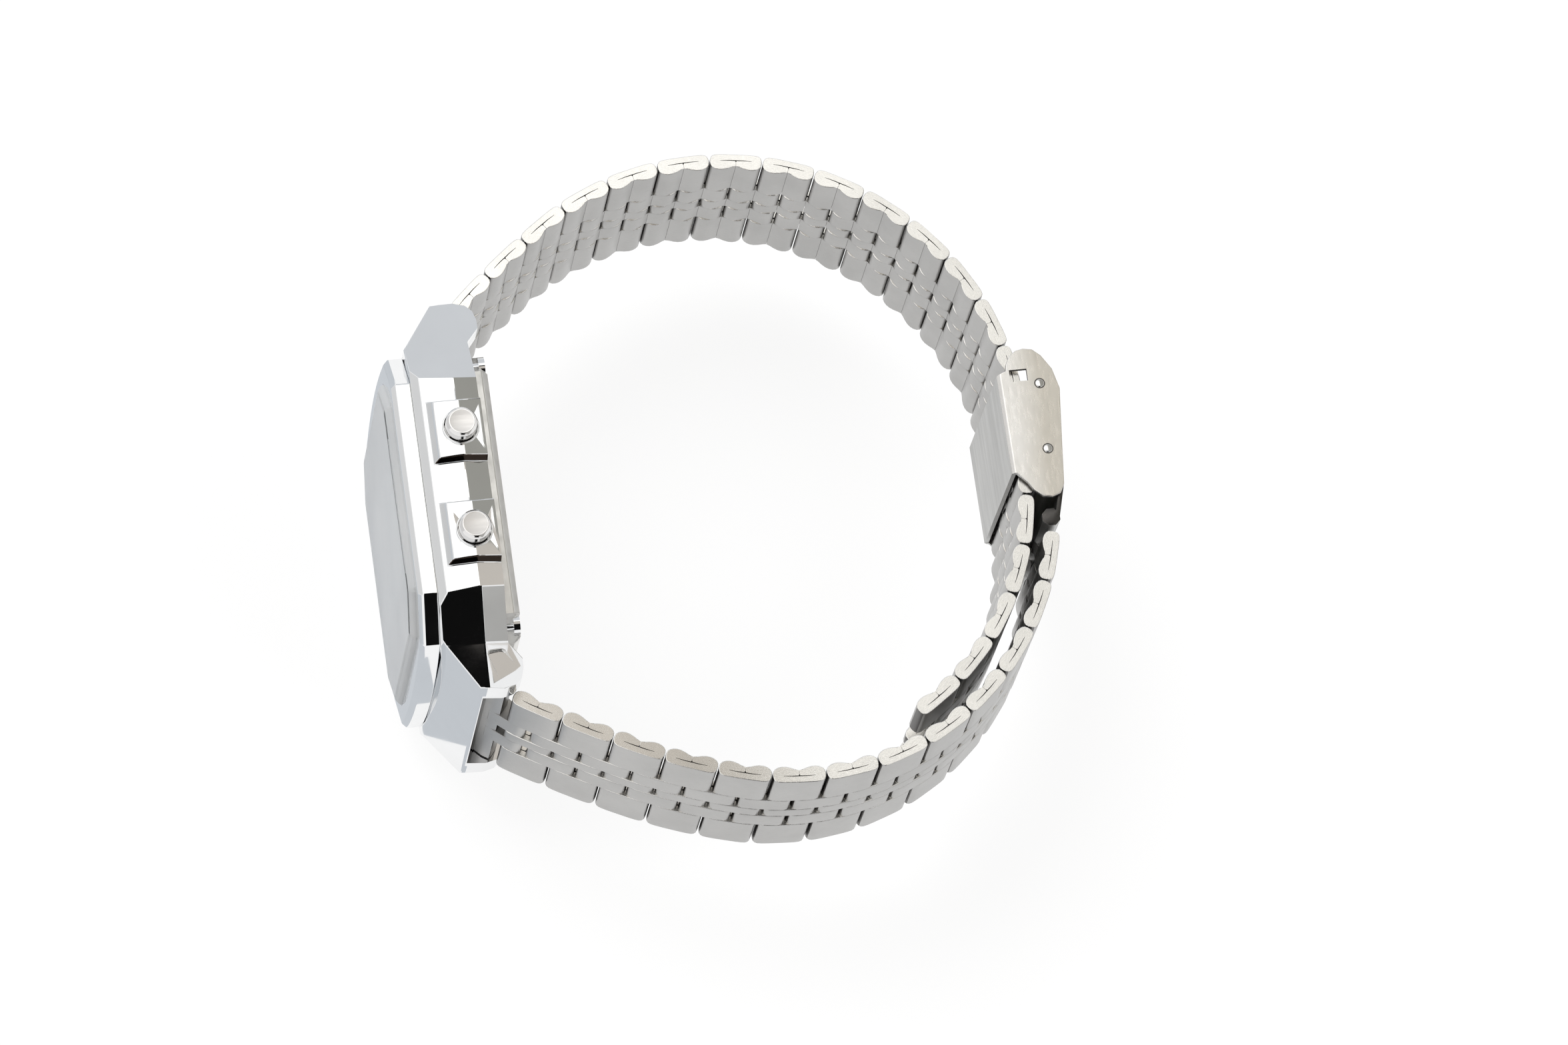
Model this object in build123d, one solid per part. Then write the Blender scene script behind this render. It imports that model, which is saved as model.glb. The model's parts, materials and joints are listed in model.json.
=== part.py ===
from build123d import *
import math
import os

# Digital wristwatch with a steel case and a link bracelet.
# Millimetres. The origin is the middle of the case back. The dial looks towards -X.
# +Y is the 6 o'clock direction and +Z is the 9 o'clock side with two buttons.

# Bracelet links
pitch = 5.05
link_gap = 0.35
row_outer = 5.42
row_second = 2.69
row_middle_half = 0.89
half_width = row_outer + row_second + row_middle_half
plate_reach = (pitch - link_gap) / 2
plate_round = 0.3
plate_crown_reach = plate_reach - plate_round
plate_top = 0.9
plate_low = 0.5
lobe_high = 0.3
lobe_low = 0.7
lobe_reach = plate_reach - plate_round
lobe_knee = 0.35
lobe_slope = 0.45
lobe_foot = lobe_reach - lobe_slope
lobe_gap_foot = 0.7
lobe_gap_top = 0.42
pin_radius = 0.4
pin_clearance = 0.05
pin_end_gap = 0.1
pin_half_length = half_width - pin_end_gap

# Spring bars that hold the bracelet to the lugs
bar_depth = 2.4
bar_radius = 0.75
bar_clearance = 0.05
bar_tip_radius = 0.4
bar_seat = 1.0
bar_shoulder_z = half_width
notch_side_gap = 0.3
notch_half_width = half_width + notch_side_gap
bar_tip_z = notch_half_width + bar_seat
end_ring_wall = 0.4
end_ring_radius = bar_radius + end_ring_wall
end_reach = 3.1

# Turn of the chain at each hinge, in degrees, from the case outwards
upper_start_angle = 64.9
upper_heading = 42.9
upper_turns = [-1.8] * 4 + [-5.42] * 22 + [-3.0] * 6 + [-5.4] * 9
lower_start_angle = -44.0
lower_heading = -30.65
lower_turns = [1.25] * 4 + [2.7] * 4 + [5.7] * 9 + [5.35] * 8

# Half pitches of chain in the runs before the clasp, beside it and in one moving piece
piece_steps = 4
upper_steps = 22
held_steps = 4
clasp_steps = 6
tail_steps = 9
lower_steps = 26

# Case, depths counted from the outer plane of the case back towards the dial
case_front_depth = 7.75
case_rear_depth = 1.6
shoulder_height = 0.75
shoulder_depth = case_front_depth - shoulder_height
ridge_set_back = 0.875
ridge_depth = (case_rear_depth + case_front_depth) / 2 - ridge_set_back

# Crystal and bezel, half sizes along the dial and heights above the case
crystal_y = 12.8
crystal_z = 13.0
crystal_corner = 3.6
crystal_edge = 0.7
crystal_rise = 0.9
crystal_ledge = 0.8
gasket_thickness = 0.4
bezel_floor = 0.55
bezel_height = 1.85
bezel_edge = 0.45
bezel_side_rim = 2.0
bezel_corner_rim = 1.55
bezel_end_bow = 1.05
bezel_flat_cut = 2.35
bezel_corner_cut = 1.5
bezel_side_z = crystal_z + bezel_side_rim
bezel_flat_y = crystal_y - bezel_flat_cut
bezel_corner_y = crystal_y + bezel_corner_rim
bezel_corner_z = crystal_z - bezel_corner_cut
bezel_end_y = bezel_corner_y + bezel_end_bow
gasket_seat_depth = case_front_depth + bezel_floor
crystal_rear_depth = gasket_seat_depth + gasket_thickness
bezel_top_depth = case_front_depth + bezel_height
crystal_front_depth = bezel_top_depth + crystal_rise

# Room inside the case, and the case's own half sizes round it
cavity_y = crystal_y - crystal_ledge
cavity_z = crystal_z - crystal_ledge
cavity_corner = crystal_corner
bezel_step = 0.05
flat_half_length = bezel_flat_y - bezel_step
lug_front_margin = 0.15
lug_root_y = bezel_corner_y + lug_front_margin
facet_length = 0.5
facet_end_y = lug_root_y + facet_length
lug_side_z = bezel_corner_z + bezel_corner_cut
side_front_z = bezel_side_z
side_shoulder_out = 0.6
side_ridge_out = 0.8
side_rear_in = 0.35
side_shoulder_z = side_front_z + side_shoulder_out
side_ridge_z = side_front_z + side_ridge_out
side_rear_z = side_ridge_z - side_rear_in
notch_wall = 2.6
notch_room = 1.8
notch_reach = 2.8
notch_wall_y = cavity_y + notch_wall
notch_depth = bar_depth + notch_room
bar_y = notch_wall_y + notch_reach
lug_reach = 1.9
lug_tip_slope = 0.2
lug_knee_set = 2.8
lug_tip_y = bar_y + lug_reach
lug_shoulder_y = lug_tip_y - lug_tip_slope
lug_knee_y = lug_tip_y - lug_knee_set
lug_back_depth = 0.4
lug_corner_radius = 1.9
lug_tip_rise = 2.25
lug_tip_depth = bar_depth + lug_tip_rise
rear_margin = 0.4
case_rear_y = notch_wall_y + rear_margin
facet_pocket_depth = 0.15
facet_pocket_margin = 0.7

# Buttons, from the top of the boss inwards
button_y = 5.1
cap_radius = 1.5
cap_rise = 1.4
cap_height = 3.25
cap_room = 0.9
cap_edge = 0.25
cap_clearance = 0.08
stem_radius = 0.6
stem_clearance = 0.03
stem_reach = 0.5
stem_end_z = cavity_z - stem_reach
stem_clip_half = 1.2
stem_clip_thickness = 0.2
leaf_height = 1.3
leaf_thickness = 0.12
leaf_reach = 1.5
leaf_half_width = 0.4
leaf_landing = 0.2
pocket_margin = 0.7
pocket_half_width = stem_clip_half + pocket_margin
pocket_floor_z = stem_end_z - leaf_height

# Raised bosses that carry the buttons
boss_height = 0.95
boss_sink = 0.9
boss_front_slope = 0.15
boss_rear_slope = 0.3
boss_front_reach = 2.3
boss_foot_reach = 0.9
boss_rear_reach = 2.15
boss_inner_reach = 2.85
boss_outer_reach = 2.7
boss_flank = 0.5
boss_top_z = side_ridge_z + boss_height
boss_front_z = boss_top_z - boss_front_slope
boss_rear_z = boss_top_z - boss_rear_slope
boss_root_z = side_ridge_z - boss_sink
boss_front_depth = ridge_depth + boss_front_reach
boss_foot_depth = boss_front_depth + boss_foot_reach
boss_rear_depth = ridge_depth - boss_rear_reach
boss_top_inner_y = button_y - boss_inner_reach
boss_top_outer_y = button_y + boss_outer_reach
boss_foot_inner_y = boss_top_inner_y - boss_flank
boss_foot_outer_y = boss_top_outer_y + boss_flank
cap_top_z = boss_top_z + cap_rise
cap_bottom_z = cap_top_z - cap_height
cap_well_z = cap_bottom_z - cap_room

# Back cover, its gasket and its screws
screw_from_cavity_y = 0.9
screw_from_cavity_z = 1.2
screw_y = cavity_y + screw_from_cavity_y
screw_z = cavity_z - screw_from_cavity_z
screw_head_radius = 1.0
screw_head_depth = 0.15
screw_seat_depth = 0.75
screw_shank_radius = 0.55
screw_end_depth = 4.5
screw_slot_width = 0.3
screw_slot_depth = 0.25
cover_end_margin = 1.4
cover_side_margin = 1.3
cover_y = screw_y + cover_end_margin
cover_z = screw_z + cover_side_margin
cover_corner = 2.2
cover_edge = 0.6
cover_wall_y = 0.8
cover_wall_z = 1.2
cover_room_y = cavity_y - cover_wall_y
cover_room_z = cavity_z - cover_wall_z
cover_room_corner = 3.0
cover_room_depth = 0.6
groove_inner = 0.3
groove_outer = 0.9
groove_depth = 0.5

# Module inside the case, in layers from the dial plate backwards
seat_clearance = 0.1
dial_thickness = 0.9
lcd_front_glass = 0.7
lcd_rear_glass = 0.7
backlight_thickness = 0.3
frame_floor = 1.0
board_thickness = 0.6
contact_height = 0.2
battery_step = 0.2
battery_body = 1.4
chip_height = 0.7
frame_front_depth = crystal_rear_depth - dial_thickness
lcd_glass_depth = frame_front_depth - lcd_front_glass
lcd_rear_depth = lcd_glass_depth - lcd_rear_glass
backlight_rear_depth = lcd_rear_depth - backlight_thickness
board_front_depth = backlight_rear_depth - frame_floor
board_rear_depth = board_front_depth - board_thickness
battery_front_depth = board_rear_depth - contact_height
battery_step_depth = battery_front_depth - battery_step
battery_rear_depth = battery_step_depth - battery_body
chip_rear_depth = board_rear_depth - chip_height

# Half sizes and places of the layers
lcd_side_wall = 1.7
lcd_y = 7.5
lcd_z = cavity_z - lcd_side_wall
dial_frame_y = 1.5
dial_frame_z = 1.0
dial_window_y = lcd_y - dial_frame_y
dial_window_z = lcd_z - dial_frame_z
lcd_glass_step = 0.9
strip_margin = 0.2
strip_width = 1.0
strip_end_margin = 1.0
strip_outer_y = lcd_y - strip_margin
strip_inner_y = strip_outer_y - strip_width
strip_z = lcd_z - strip_end_margin
backlight_margin = 0.3
backlight_y = strip_inner_y - backlight_margin
frame_wall_y = 1.6
frame_wall_z = 2.0
frame_room_y = cavity_y - frame_wall_y
frame_room_z = cavity_z - frame_wall_z
board_gap_y = 0.8
board_gap_z = 0.3
board_y = frame_room_y - board_gap_y
board_z = frame_room_z - board_gap_z
battery_side_room = 2.2
battery_end_room = 0.2
battery_rim = 0.8
battery_radius = min(frame_room_y, frame_room_z) - battery_side_room
battery_y = frame_room_y - battery_radius - battery_end_room
battery_step_radius = battery_radius - battery_rim
clip_thickness = 0.2
clip_half_width = 1.2
clip_foot_gap = 1.1
clip_foot_y = battery_radius - battery_y + clip_foot_gap
clip_end_y = board_y
chip_half_size = 1.5
chip_y = board_y - chip_half_size - seat_clearance
chip_z = 4.0
can_radius = 0.7
can_length = 3.6
can_set_in = 4.0
can_y = board_y - 2 * can_radius
can_z = board_z - can_set_in
buzzer_room = 1.5
buzzer_plate = 0.15
buzzer_radius = min(cover_room_y, cover_room_z) - buzzer_room
ceramic_rim = 3.0
ceramic_radius = buzzer_radius - ceramic_rim
ceramic_plate = 0.1
contact_set_in = 0.9
contact_y = buzzer_radius - contact_set_in
contact_half_width = 0.5
contact_reach = 1.1

# Folding clasp
sheet = 0.4
wall_side_gap = 0.3
wall_outer_z = half_width + wall_side_gap + sheet
clasp_low_y = -4.56
clasp_length = 15.12
clasp_inner_x = 48.45
clasp_depth = 5.82
plate_end_y = 8.07
plate_start_y = -1.86
fold_edge = 0.3
cover_pin_x = 52.4
cover_pin_y = 6.9
catch_pin_x = 52.2
catch_pin_y = 0.28
clasp_pin_radius = 0.4
catch_pin_radius = 0.35
cover_curl_radius = 0.8
cover_side_gap = 0.12
cover_sheet = 0.45
cover_bow_x = 53.75
cover_bow_high_y = 5.4
cover_bow_low_y = 1.0
cover_knee_x = 53.25
cover_knee_y = -3.4
hook_radius = 0.85
claw_inset = 0.78
claw_width = 1.4
claw_outer_z = wall_outer_z - sheet - cover_side_gap - claw_inset
claw_inner_z = claw_outer_z - claw_width
claw_x = 52.65
claw_half_height = 0.35
lock_curl_radius = 0.6
lock_sheet = 0.3
lock_end_y = 5.9
lock_side_gap = 0.8
lock_half_width = claw_inner_z - lock_side_gap
hole_centre_x = 50.49
hole_centre_y = 7.88
hole_half_x = 0.85
hole_half_y = 0.6

# Flat sides drawn on round pieces that stay out of sight
hidden_sides = 12
disc_sides = 32

# Outline of one clasp wall, as shares of its depth and of its length from the low end
wall_shares = [
    (0.00, 0.835), (0.15, 0.860), (0.17, 0.900), (0.24, 0.955), (0.36, 0.990), (0.49, 1.000),
    (0.64, 0.990), (0.77, 0.945), (0.92, 0.850), (1.00, 0.715), (0.95, 0.545), (0.82, 0.077),
    (0.74, 0.020), (0.60, 0.000), (0.45, 0.010), (0.32, 0.055), (0.23, 0.110), (0.07, 0.176),
    (0.00, 0.179),
]


# General shapes
def prism(points, axis, start, stop):
    outline = make_face(Polyline(*points, close=True).edges())
    if axis == "z":
        plane = Plane.XY.offset(start)
        direction = (0, 0, 1)
    elif axis == "x":
        plane = Plane.YZ.offset(start)
        direction = (1, 0, 0)
    else:
        plane = Plane.XZ.offset(-start)
        direction = (0, 1, 0)
    return extrude(plane * outline, amount=stop - start, dir=direction)


def rod(x, y, radius, z_from, z_to):
    disc = Plane.XY.offset(z_from) * Pos(x, y) * Circle(radius)
    return extrude(disc, amount=z_to - z_from, dir=(0, 0, 1))


def post(depth_from, depth_to, y, z, radius):
    disc = Plane.YZ.offset(-depth_from) * Pos(y, z) * Circle(radius)
    return extrude(disc, amount=depth_from - depth_to, dir=(1, 0, 0))


def ring_points(across, up, radius, sides):
    turns = [math.radians(360 * index / sides) for index in range(sides)]
    return [(across + radius * math.cos(turn), up + radius * math.sin(turn)) for turn in turns]


def plain_rod(x, y, radius, z_from, z_to):
    # Twelve narrow flats, for round stock that stays out of sight
    return prism(ring_points(x, y, radius, hidden_sides), "z", z_from, z_to)


def plain_post(depth_from, depth_to, y, z, radius):
    return prism(ring_points(y, z, radius, hidden_sides), "x", -depth_from, -depth_to)


def plain_disc(depth_from, depth_to, y, z, radius):
    return prism(ring_points(y, z, radius, disc_sides), "x", -depth_from, -depth_to)


def block(x_from, x_to, y_from, y_to, z_from, z_to):
    corners = [(x_from, y_from), (x_to, y_from), (x_to, y_to), (x_from, y_to)]
    return prism(corners, "z", z_from, z_to)


def cut_corner_outline(y, z, corner):
    return [
        (y - corner, z), (y, z - corner), (y, corner - z), (y - corner, -z),
        (corner - y, -z), (-y, corner - z), (-y, z - corner), (corner - y, z),
    ]


def cut_corner_plate(y, z, corner, depth_from, depth_to):
    return prism(cut_corner_outline(y, z, corner), "x", -depth_from, -depth_to)


# Case
def case_side_outline():
    corner_near = lug_corner_radius * (1 - math.cos(math.radians(60)))
    corner_far = lug_corner_radius * (1 - math.sin(math.radians(60)))
    half = [
        (-case_front_depth, lug_root_y), (-lug_tip_depth, lug_shoulder_y),
        (-bar_depth, lug_tip_y), (-lug_back_depth - corner_near, lug_tip_y - corner_far),
        (-lug_back_depth - corner_far, lug_tip_y - corner_near),
        (-lug_back_depth, lug_tip_y - lug_corner_radius),
        (-lug_back_depth, lug_knee_y), (-case_rear_depth, case_rear_y),
    ]
    other = [(x, -y) for x, y in reversed(half)]
    return half + other


def case_front_outline():
    return [
        (flat_half_length, side_ridge_z), (facet_end_y, lug_side_z),
        (lug_tip_y, lug_side_z), (lug_tip_y, -lug_side_z),
        (facet_end_y, -lug_side_z), (flat_half_length, -side_ridge_z),
        (-flat_half_length, -side_ridge_z), (-facet_end_y, -lug_side_z),
        (-lug_tip_y, -lug_side_z), (-lug_tip_y, lug_side_z),
        (-facet_end_y, lug_side_z), (-flat_half_length, side_ridge_z),
    ]


def case_cross_outline():
    half = [
        (-case_front_depth, side_front_z), (-shoulder_depth, side_shoulder_z),
        (-ridge_depth, side_ridge_z), (-case_rear_depth, side_rear_z), (0, side_rear_z),
    ]
    other = [(x, -z) for x, z in reversed(half)]
    return half + other


def boss(y_sign, z_sign):
    face = [
        (y_sign * boss_foot_inner_y, z_sign * boss_root_z),
        (y_sign * boss_top_inner_y, z_sign * boss_top_z),
        (y_sign * boss_top_outer_y, z_sign * boss_top_z),
        (y_sign * boss_foot_outer_y, z_sign * boss_root_z),
    ]
    cross = [
        (-boss_foot_depth, z_sign * boss_root_z), (-boss_front_depth, z_sign * boss_front_z),
        (-ridge_depth, z_sign * boss_top_z), (-boss_rear_depth, z_sign * boss_rear_z),
        (-boss_rear_depth, z_sign * boss_root_z),
    ]
    along_depth = prism(face, "x", -boss_foot_depth, -boss_rear_depth)
    along_length = prism(cross, "y", -lug_tip_y, lug_tip_y)
    return along_depth & along_length


def lug_pocket(y_sign, z_sign):
    inner = lug_side_z - facet_pocket_depth
    low = facet_end_y + facet_pocket_margin / 2
    points = [
        (-lug_tip_depth - facet_pocket_margin, y_sign * low),
        (-bar_depth, y_sign * low),
        (-bar_depth + facet_pocket_margin, y_sign * bar_y),
        (-bar_depth, y_sign * (lug_tip_y - facet_pocket_margin)),
        (-lug_tip_depth + facet_pocket_margin / 2, y_sign * (lug_shoulder_y - facet_pocket_margin)),
    ]
    return prism(points, "z", min(z_sign * inner, z_sign * lug_side_z),
                 max(z_sign * inner, z_sign * lug_side_z))


def button_places():
    return [(-button_y, 1), (button_y, 1), (button_y, -1)]


def signed_rod(x, y, radius, z_sign, z_from, z_to):
    return rod(x, y, radius, min(z_sign * z_from, z_sign * z_to), max(z_sign * z_from, z_sign * z_to))


def case_body():
    body = prism(case_side_outline(), "z", -side_ridge_z, side_ridge_z)
    body = body & prism(case_front_outline(), "x", -case_front_depth, 0)
    body = body & prism(case_cross_outline(), "y", -lug_tip_y, lug_tip_y)
    for y_sign in (-1, 1):
        for z_sign in (-1, 1):
            body = body + boss(y_sign, z_sign)
            body = body - lug_pocket(y_sign, z_sign)
            body = body - plain_post(screw_end_depth, case_rear_depth, y_sign * screw_y, z_sign * screw_z,
                                     screw_shank_radius)
        near = y_sign * notch_wall_y
        far = y_sign * (lug_tip_y + lug_root_y)
        body = body - block(-notch_depth, lug_back_depth, min(near, far), max(near, far),
                            -notch_half_width, notch_half_width)
        body = body - plain_rod(-bar_depth, y_sign * bar_y, bar_tip_radius, -bar_tip_z, bar_tip_z)
    body = body - cut_corner_plate(cavity_y, cavity_z, cavity_corner, case_front_depth, case_rear_depth)
    groove = cut_corner_plate(cavity_y + groove_outer, cavity_z + groove_outer, cavity_corner,
                              case_rear_depth + groove_depth, case_rear_depth)
    groove = groove - cut_corner_plate(cavity_y + groove_inner, cavity_z + groove_inner, cavity_corner,
                                       case_rear_depth + groove_depth, case_rear_depth)
    body = body - groove
    for y, z_sign in button_places():
        body = body - signed_rod(-ridge_depth, y, cap_radius + cap_clearance, z_sign, cap_well_z, cap_top_z)
        body = body - signed_rod(-ridge_depth, y, stem_radius + stem_clearance, z_sign,
                                 pocket_floor_z, cap_well_z)
    return body


def bezel():
    upper = [(-bezel_flat_y, bezel_side_z), (bezel_flat_y, bezel_side_z), (bezel_corner_y, bezel_corner_z)]
    lower = [(y, -z) for y, z in reversed(upper)]
    right_arc = ThreePointArc(upper[2], (bezel_end_y, 0), lower[0])
    left_start = (-bezel_corner_y, -bezel_corner_z)
    left_end = (-bezel_corner_y, bezel_corner_z)
    left_arc = ThreePointArc(left_start, (-bezel_end_y, 0), left_end)
    lines = Polyline(left_end, upper[0], upper[1], upper[2])
    low_lines = Polyline(lower[0], lower[1], lower[2], left_start)
    outline = make_face(lines.edges() + right_arc.edges() + low_lines.edges() + left_arc.edges())
    ring = extrude(Plane.YZ.offset(-bezel_top_depth) * outline,
                   amount=bezel_top_depth - case_front_depth, dir=(1, 0, 0))
    top_edges = [edge for edge in ring.edges() if abs(edge.center().X + bezel_top_depth) < seat_clearance]
    ring = chamfer(top_edges, bezel_edge)
    ring = ring - cut_corner_plate(crystal_y, crystal_z, crystal_corner, bezel_top_depth, gasket_seat_depth)
    ring = ring - cut_corner_plate(cavity_y, cavity_z, cavity_corner, gasket_seat_depth, case_front_depth)
    return ring


def crystal():
    glass = cut_corner_plate(crystal_y, crystal_z, crystal_corner, crystal_front_depth, crystal_rear_depth)
    front = glass.faces().sort_by(Axis.X)[0]
    return chamfer(front.edges(), crystal_edge)


def crystal_gasket():
    ring = cut_corner_plate(crystal_y, crystal_z, crystal_corner, crystal_rear_depth, gasket_seat_depth)
    return ring - cut_corner_plate(cavity_y, cavity_z, cavity_corner, crystal_rear_depth, gasket_seat_depth)


# Module
def dial_plate():
    y = cavity_y - seat_clearance
    z = cavity_z - seat_clearance
    plate = cut_corner_plate(y, z, cavity_corner, crystal_rear_depth, frame_front_depth)
    window = block(-crystal_rear_depth, -frame_front_depth, -dial_window_y, dial_window_y,
                   -dial_window_z, dial_window_z)
    return plate - window


def lcd_panel():
    front = block(-frame_front_depth, -lcd_glass_depth, lcd_glass_step - lcd_y, lcd_y - lcd_glass_step,
                  -lcd_z, lcd_z)
    rear = block(-lcd_glass_depth, -lcd_rear_depth, -lcd_y, lcd_y, -lcd_z, lcd_z)
    return front + rear


def backlight_panel():
    return block(-lcd_rear_depth, -backlight_rear_depth, -backlight_y, backlight_y, -lcd_z, lcd_z)


def contact_strips():
    return [
        block(-lcd_rear_depth, -board_front_depth, strip_inner_y, strip_outer_y, -strip_z, strip_z),
        block(-lcd_rear_depth, -board_front_depth, -strip_outer_y, -strip_inner_y, -strip_z, strip_z),
    ]


def module_frame():
    y = cavity_y - seat_clearance
    z = cavity_z - seat_clearance
    frame = cut_corner_plate(y, z, cavity_corner, frame_front_depth, case_rear_depth)
    frame = frame - block(-frame_front_depth, -lcd_rear_depth, -lcd_y, lcd_y, -lcd_z, lcd_z)
    frame = frame - backlight_panel()
    for strip in contact_strips():
        frame = frame - strip
    frame = frame - cut_corner_plate(frame_room_y, frame_room_z, cavity_corner, board_front_depth, case_rear_depth)
    for y_place, z_sign in button_places():
        near = min(z_sign * pocket_floor_z, z_sign * cavity_z)
        far = max(z_sign * pocket_floor_z, z_sign * cavity_z)
        frame = frame - block(-ridge_depth - pocket_half_width, -case_rear_depth,
                              y_place - pocket_half_width, y_place + pocket_half_width, near, far)
    return frame


def circuit_board():
    return cut_corner_plate(board_y, board_z, cavity_corner, board_front_depth, board_rear_depth)


def chip_cover():
    body = block(-board_rear_depth, -chip_rear_depth, -chip_y - chip_half_size, -chip_y + chip_half_size,
                 chip_z - chip_half_size, chip_z + chip_half_size)
    top = body.faces().sort_by(Axis.X)[-1]
    return chamfer(top.edges(), seat_clearance)


def quartz_can():
    x = -board_rear_depth + can_radius
    return rod(x, -can_y, can_radius, -can_z - can_length / 2, -can_z + can_length / 2)


def battery():
    rear = plain_disc(battery_step_depth, battery_rear_depth, battery_y, 0, battery_radius)
    front = plain_disc(battery_front_depth, battery_step_depth, battery_y, 0, battery_step_radius)
    return rear + front


def battery_clip():
    back = block(-battery_rear_depth, -battery_rear_depth + clip_thickness, -clip_foot_y, clip_end_y,
                 -clip_half_width, clip_half_width)
    foot = block(-board_rear_depth, -battery_rear_depth + clip_thickness, -clip_foot_y,
                 -clip_foot_y + clip_thickness, -clip_half_width, clip_half_width)
    return back + foot


def battery_contact():
    return block(-board_rear_depth, -battery_front_depth, battery_y - clip_half_width,
                 battery_y + clip_half_width, -clip_half_width, clip_half_width)


def buzzer_contact():
    low = -contact_y
    column = block(-board_rear_depth, -cover_room_depth - buzzer_plate, low, low + clip_thickness,
                   -contact_half_width, contact_half_width)
    tip = block(-cover_room_depth - buzzer_plate - clip_thickness, -cover_room_depth - buzzer_plate,
                low, low + contact_reach, -contact_half_width, contact_half_width)
    return column + tip


def piezo_buzzer():
    plate = plain_disc(cover_room_depth + buzzer_plate, cover_room_depth, 0, 0, buzzer_radius)
    ceramic = plain_disc(cover_room_depth + buzzer_plate + ceramic_plate, cover_room_depth + buzzer_plate,
                         0, 0, ceramic_radius)
    return plate + ceramic


# Back cover
def back_cover():
    cover = cut_corner_plate(cover_y, cover_z, cover_corner, case_rear_depth, 0)
    outer = cover.faces().sort_by(Axis.X)[-1]
    cover = chamfer(outer.edges(), cover_edge)
    cover = cover - cut_corner_plate(cover_room_y, cover_room_z, cover_room_corner,
                                     case_rear_depth, cover_room_depth)
    for y_sign in (-1, 1):
        for z_sign in (-1, 1):
            cover = cover - plain_post(case_rear_depth, screw_seat_depth, y_sign * screw_y, z_sign * screw_z,
                                       screw_shank_radius)
            cover = cover - post(screw_seat_depth, 0, y_sign * screw_y, z_sign * screw_z, screw_head_radius)
    return cover


def back_gasket():
    ring = cut_corner_plate(cavity_y + groove_outer, cavity_z + groove_outer, cavity_corner,
                            case_rear_depth + groove_depth, case_rear_depth)
    return ring - cut_corner_plate(cavity_y + groove_inner, cavity_z + groove_inner, cavity_corner,
                                   case_rear_depth + groove_depth, case_rear_depth)


def cover_screws():
    screws = []
    for y_sign in (-1, 1):
        for z_sign in (-1, 1):
            y = y_sign * screw_y
            z = z_sign * screw_z
            head = post(screw_seat_depth, screw_head_depth, y, z, screw_head_radius)
            slot = block(-screw_head_depth - screw_slot_depth, 0, y - screw_head_radius, y + screw_head_radius,
                         z - screw_slot_width / 2, z + screw_slot_width / 2)
            shank = plain_post(screw_end_depth, screw_seat_depth, y, z, screw_shank_radius)
            screws.append(head - slot + shank)
    return screws


# Buttons, drawn on the +Z side and turned over for the other side
def button(y):
    cap = rod(-ridge_depth, y, cap_radius, cap_bottom_z, cap_top_z)
    top = cap.faces().sort_by(Axis.Z)[-1]
    cap = chamfer(top.edges(), cap_edge)
    stem = rod(-ridge_depth, y, stem_radius, stem_end_z, cap_bottom_z)
    inner_x = -ridge_depth - stem_clip_half
    outer_x = -ridge_depth + stem_clip_half
    clip = prism([
        (inner_x, y - stem_clip_half), (outer_x, y - stem_clip_half), (outer_x, y + stem_clip_half),
        (-ridge_depth + stem_radius, y + stem_clip_half), (-ridge_depth + stem_radius, y - stem_radius),
        (-ridge_depth - stem_radius, y - stem_radius), (-ridge_depth - stem_radius, y + stem_clip_half),
        (inner_x, y + stem_clip_half),
    ], "z", cavity_z - stem_clip_thickness, cavity_z)
    return [cap + stem, clip]


def button_spring(y):
    # Folded leaf between the frame and the end of the stem
    low = pocket_floor_z
    high = stem_end_z
    middle = (low + high) / 2
    left = y - leaf_reach / 2
    right = y + leaf_reach / 2
    points = [
        (left, low), (right + leaf_thickness, low), (right + leaf_thickness, low + leaf_thickness),
        (left + leaf_thickness, low + leaf_thickness), (right, middle), (y - leaf_landing, high),
        (y - leaf_landing - leaf_thickness, high), (right - leaf_thickness, middle),
        (left, low + leaf_thickness),
    ]
    return prism(points, "x", -ridge_depth - leaf_half_width, -ridge_depth + leaf_half_width)


def on_side(shape, z_sign):
    if z_sign > 0:
        return shape
    return mirror(shape, about=Plane.XY)


# Spring bars
def spring_bar(y_sign):
    y = y_sign * bar_y
    body = rod(-bar_depth, y, bar_radius, -bar_shoulder_z, bar_shoulder_z)
    return body + plain_rod(-bar_depth, y, bar_tip_radius, -bar_tip_z, bar_tip_z)


# Bracelet
def row_limits():
    first = half_width - row_outer
    second = first - row_second
    return {
        1: (first, half_width),
        2: (second, first),
        3: (-second, second),
        4: (-first, -second),
        5: (-half_width, -first),
    }


def link_outline(notched):
    # Outer rows show two lobes with a gap between them, inner rows stay plain
    right = [(plate_crown_reach, plate_top), (plate_reach, plate_low)]
    middle = []
    if notched:
        right = right + [(lobe_reach, lobe_high), (lobe_reach, -lobe_knee), (lobe_foot, -lobe_low),
                         (lobe_gap_foot, -lobe_low)]
        middle = [(0, -lobe_gap_top)]
    else:
        right.append((lobe_foot, -lobe_low))
    left = [(-s, t) for s, t in reversed(right)]
    return right + middle + left


def link_row(row):
    low, high = row_limits()[row]
    return prism(link_outline(row in (1, 5)), "z", low, high)


def channel(s, inscribed):
    # Eight flat sides round a pin, as rolled sheet leaves them
    corner = inscribed / math.cos(math.radians(22.5))
    turns = [math.radians(22.5 + 45 * index) for index in range(8)]
    points = [(s + corner * math.cos(turn), corner * math.sin(turn)) for turn in turns]
    return prism(points, "z", -half_width, half_width)


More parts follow.
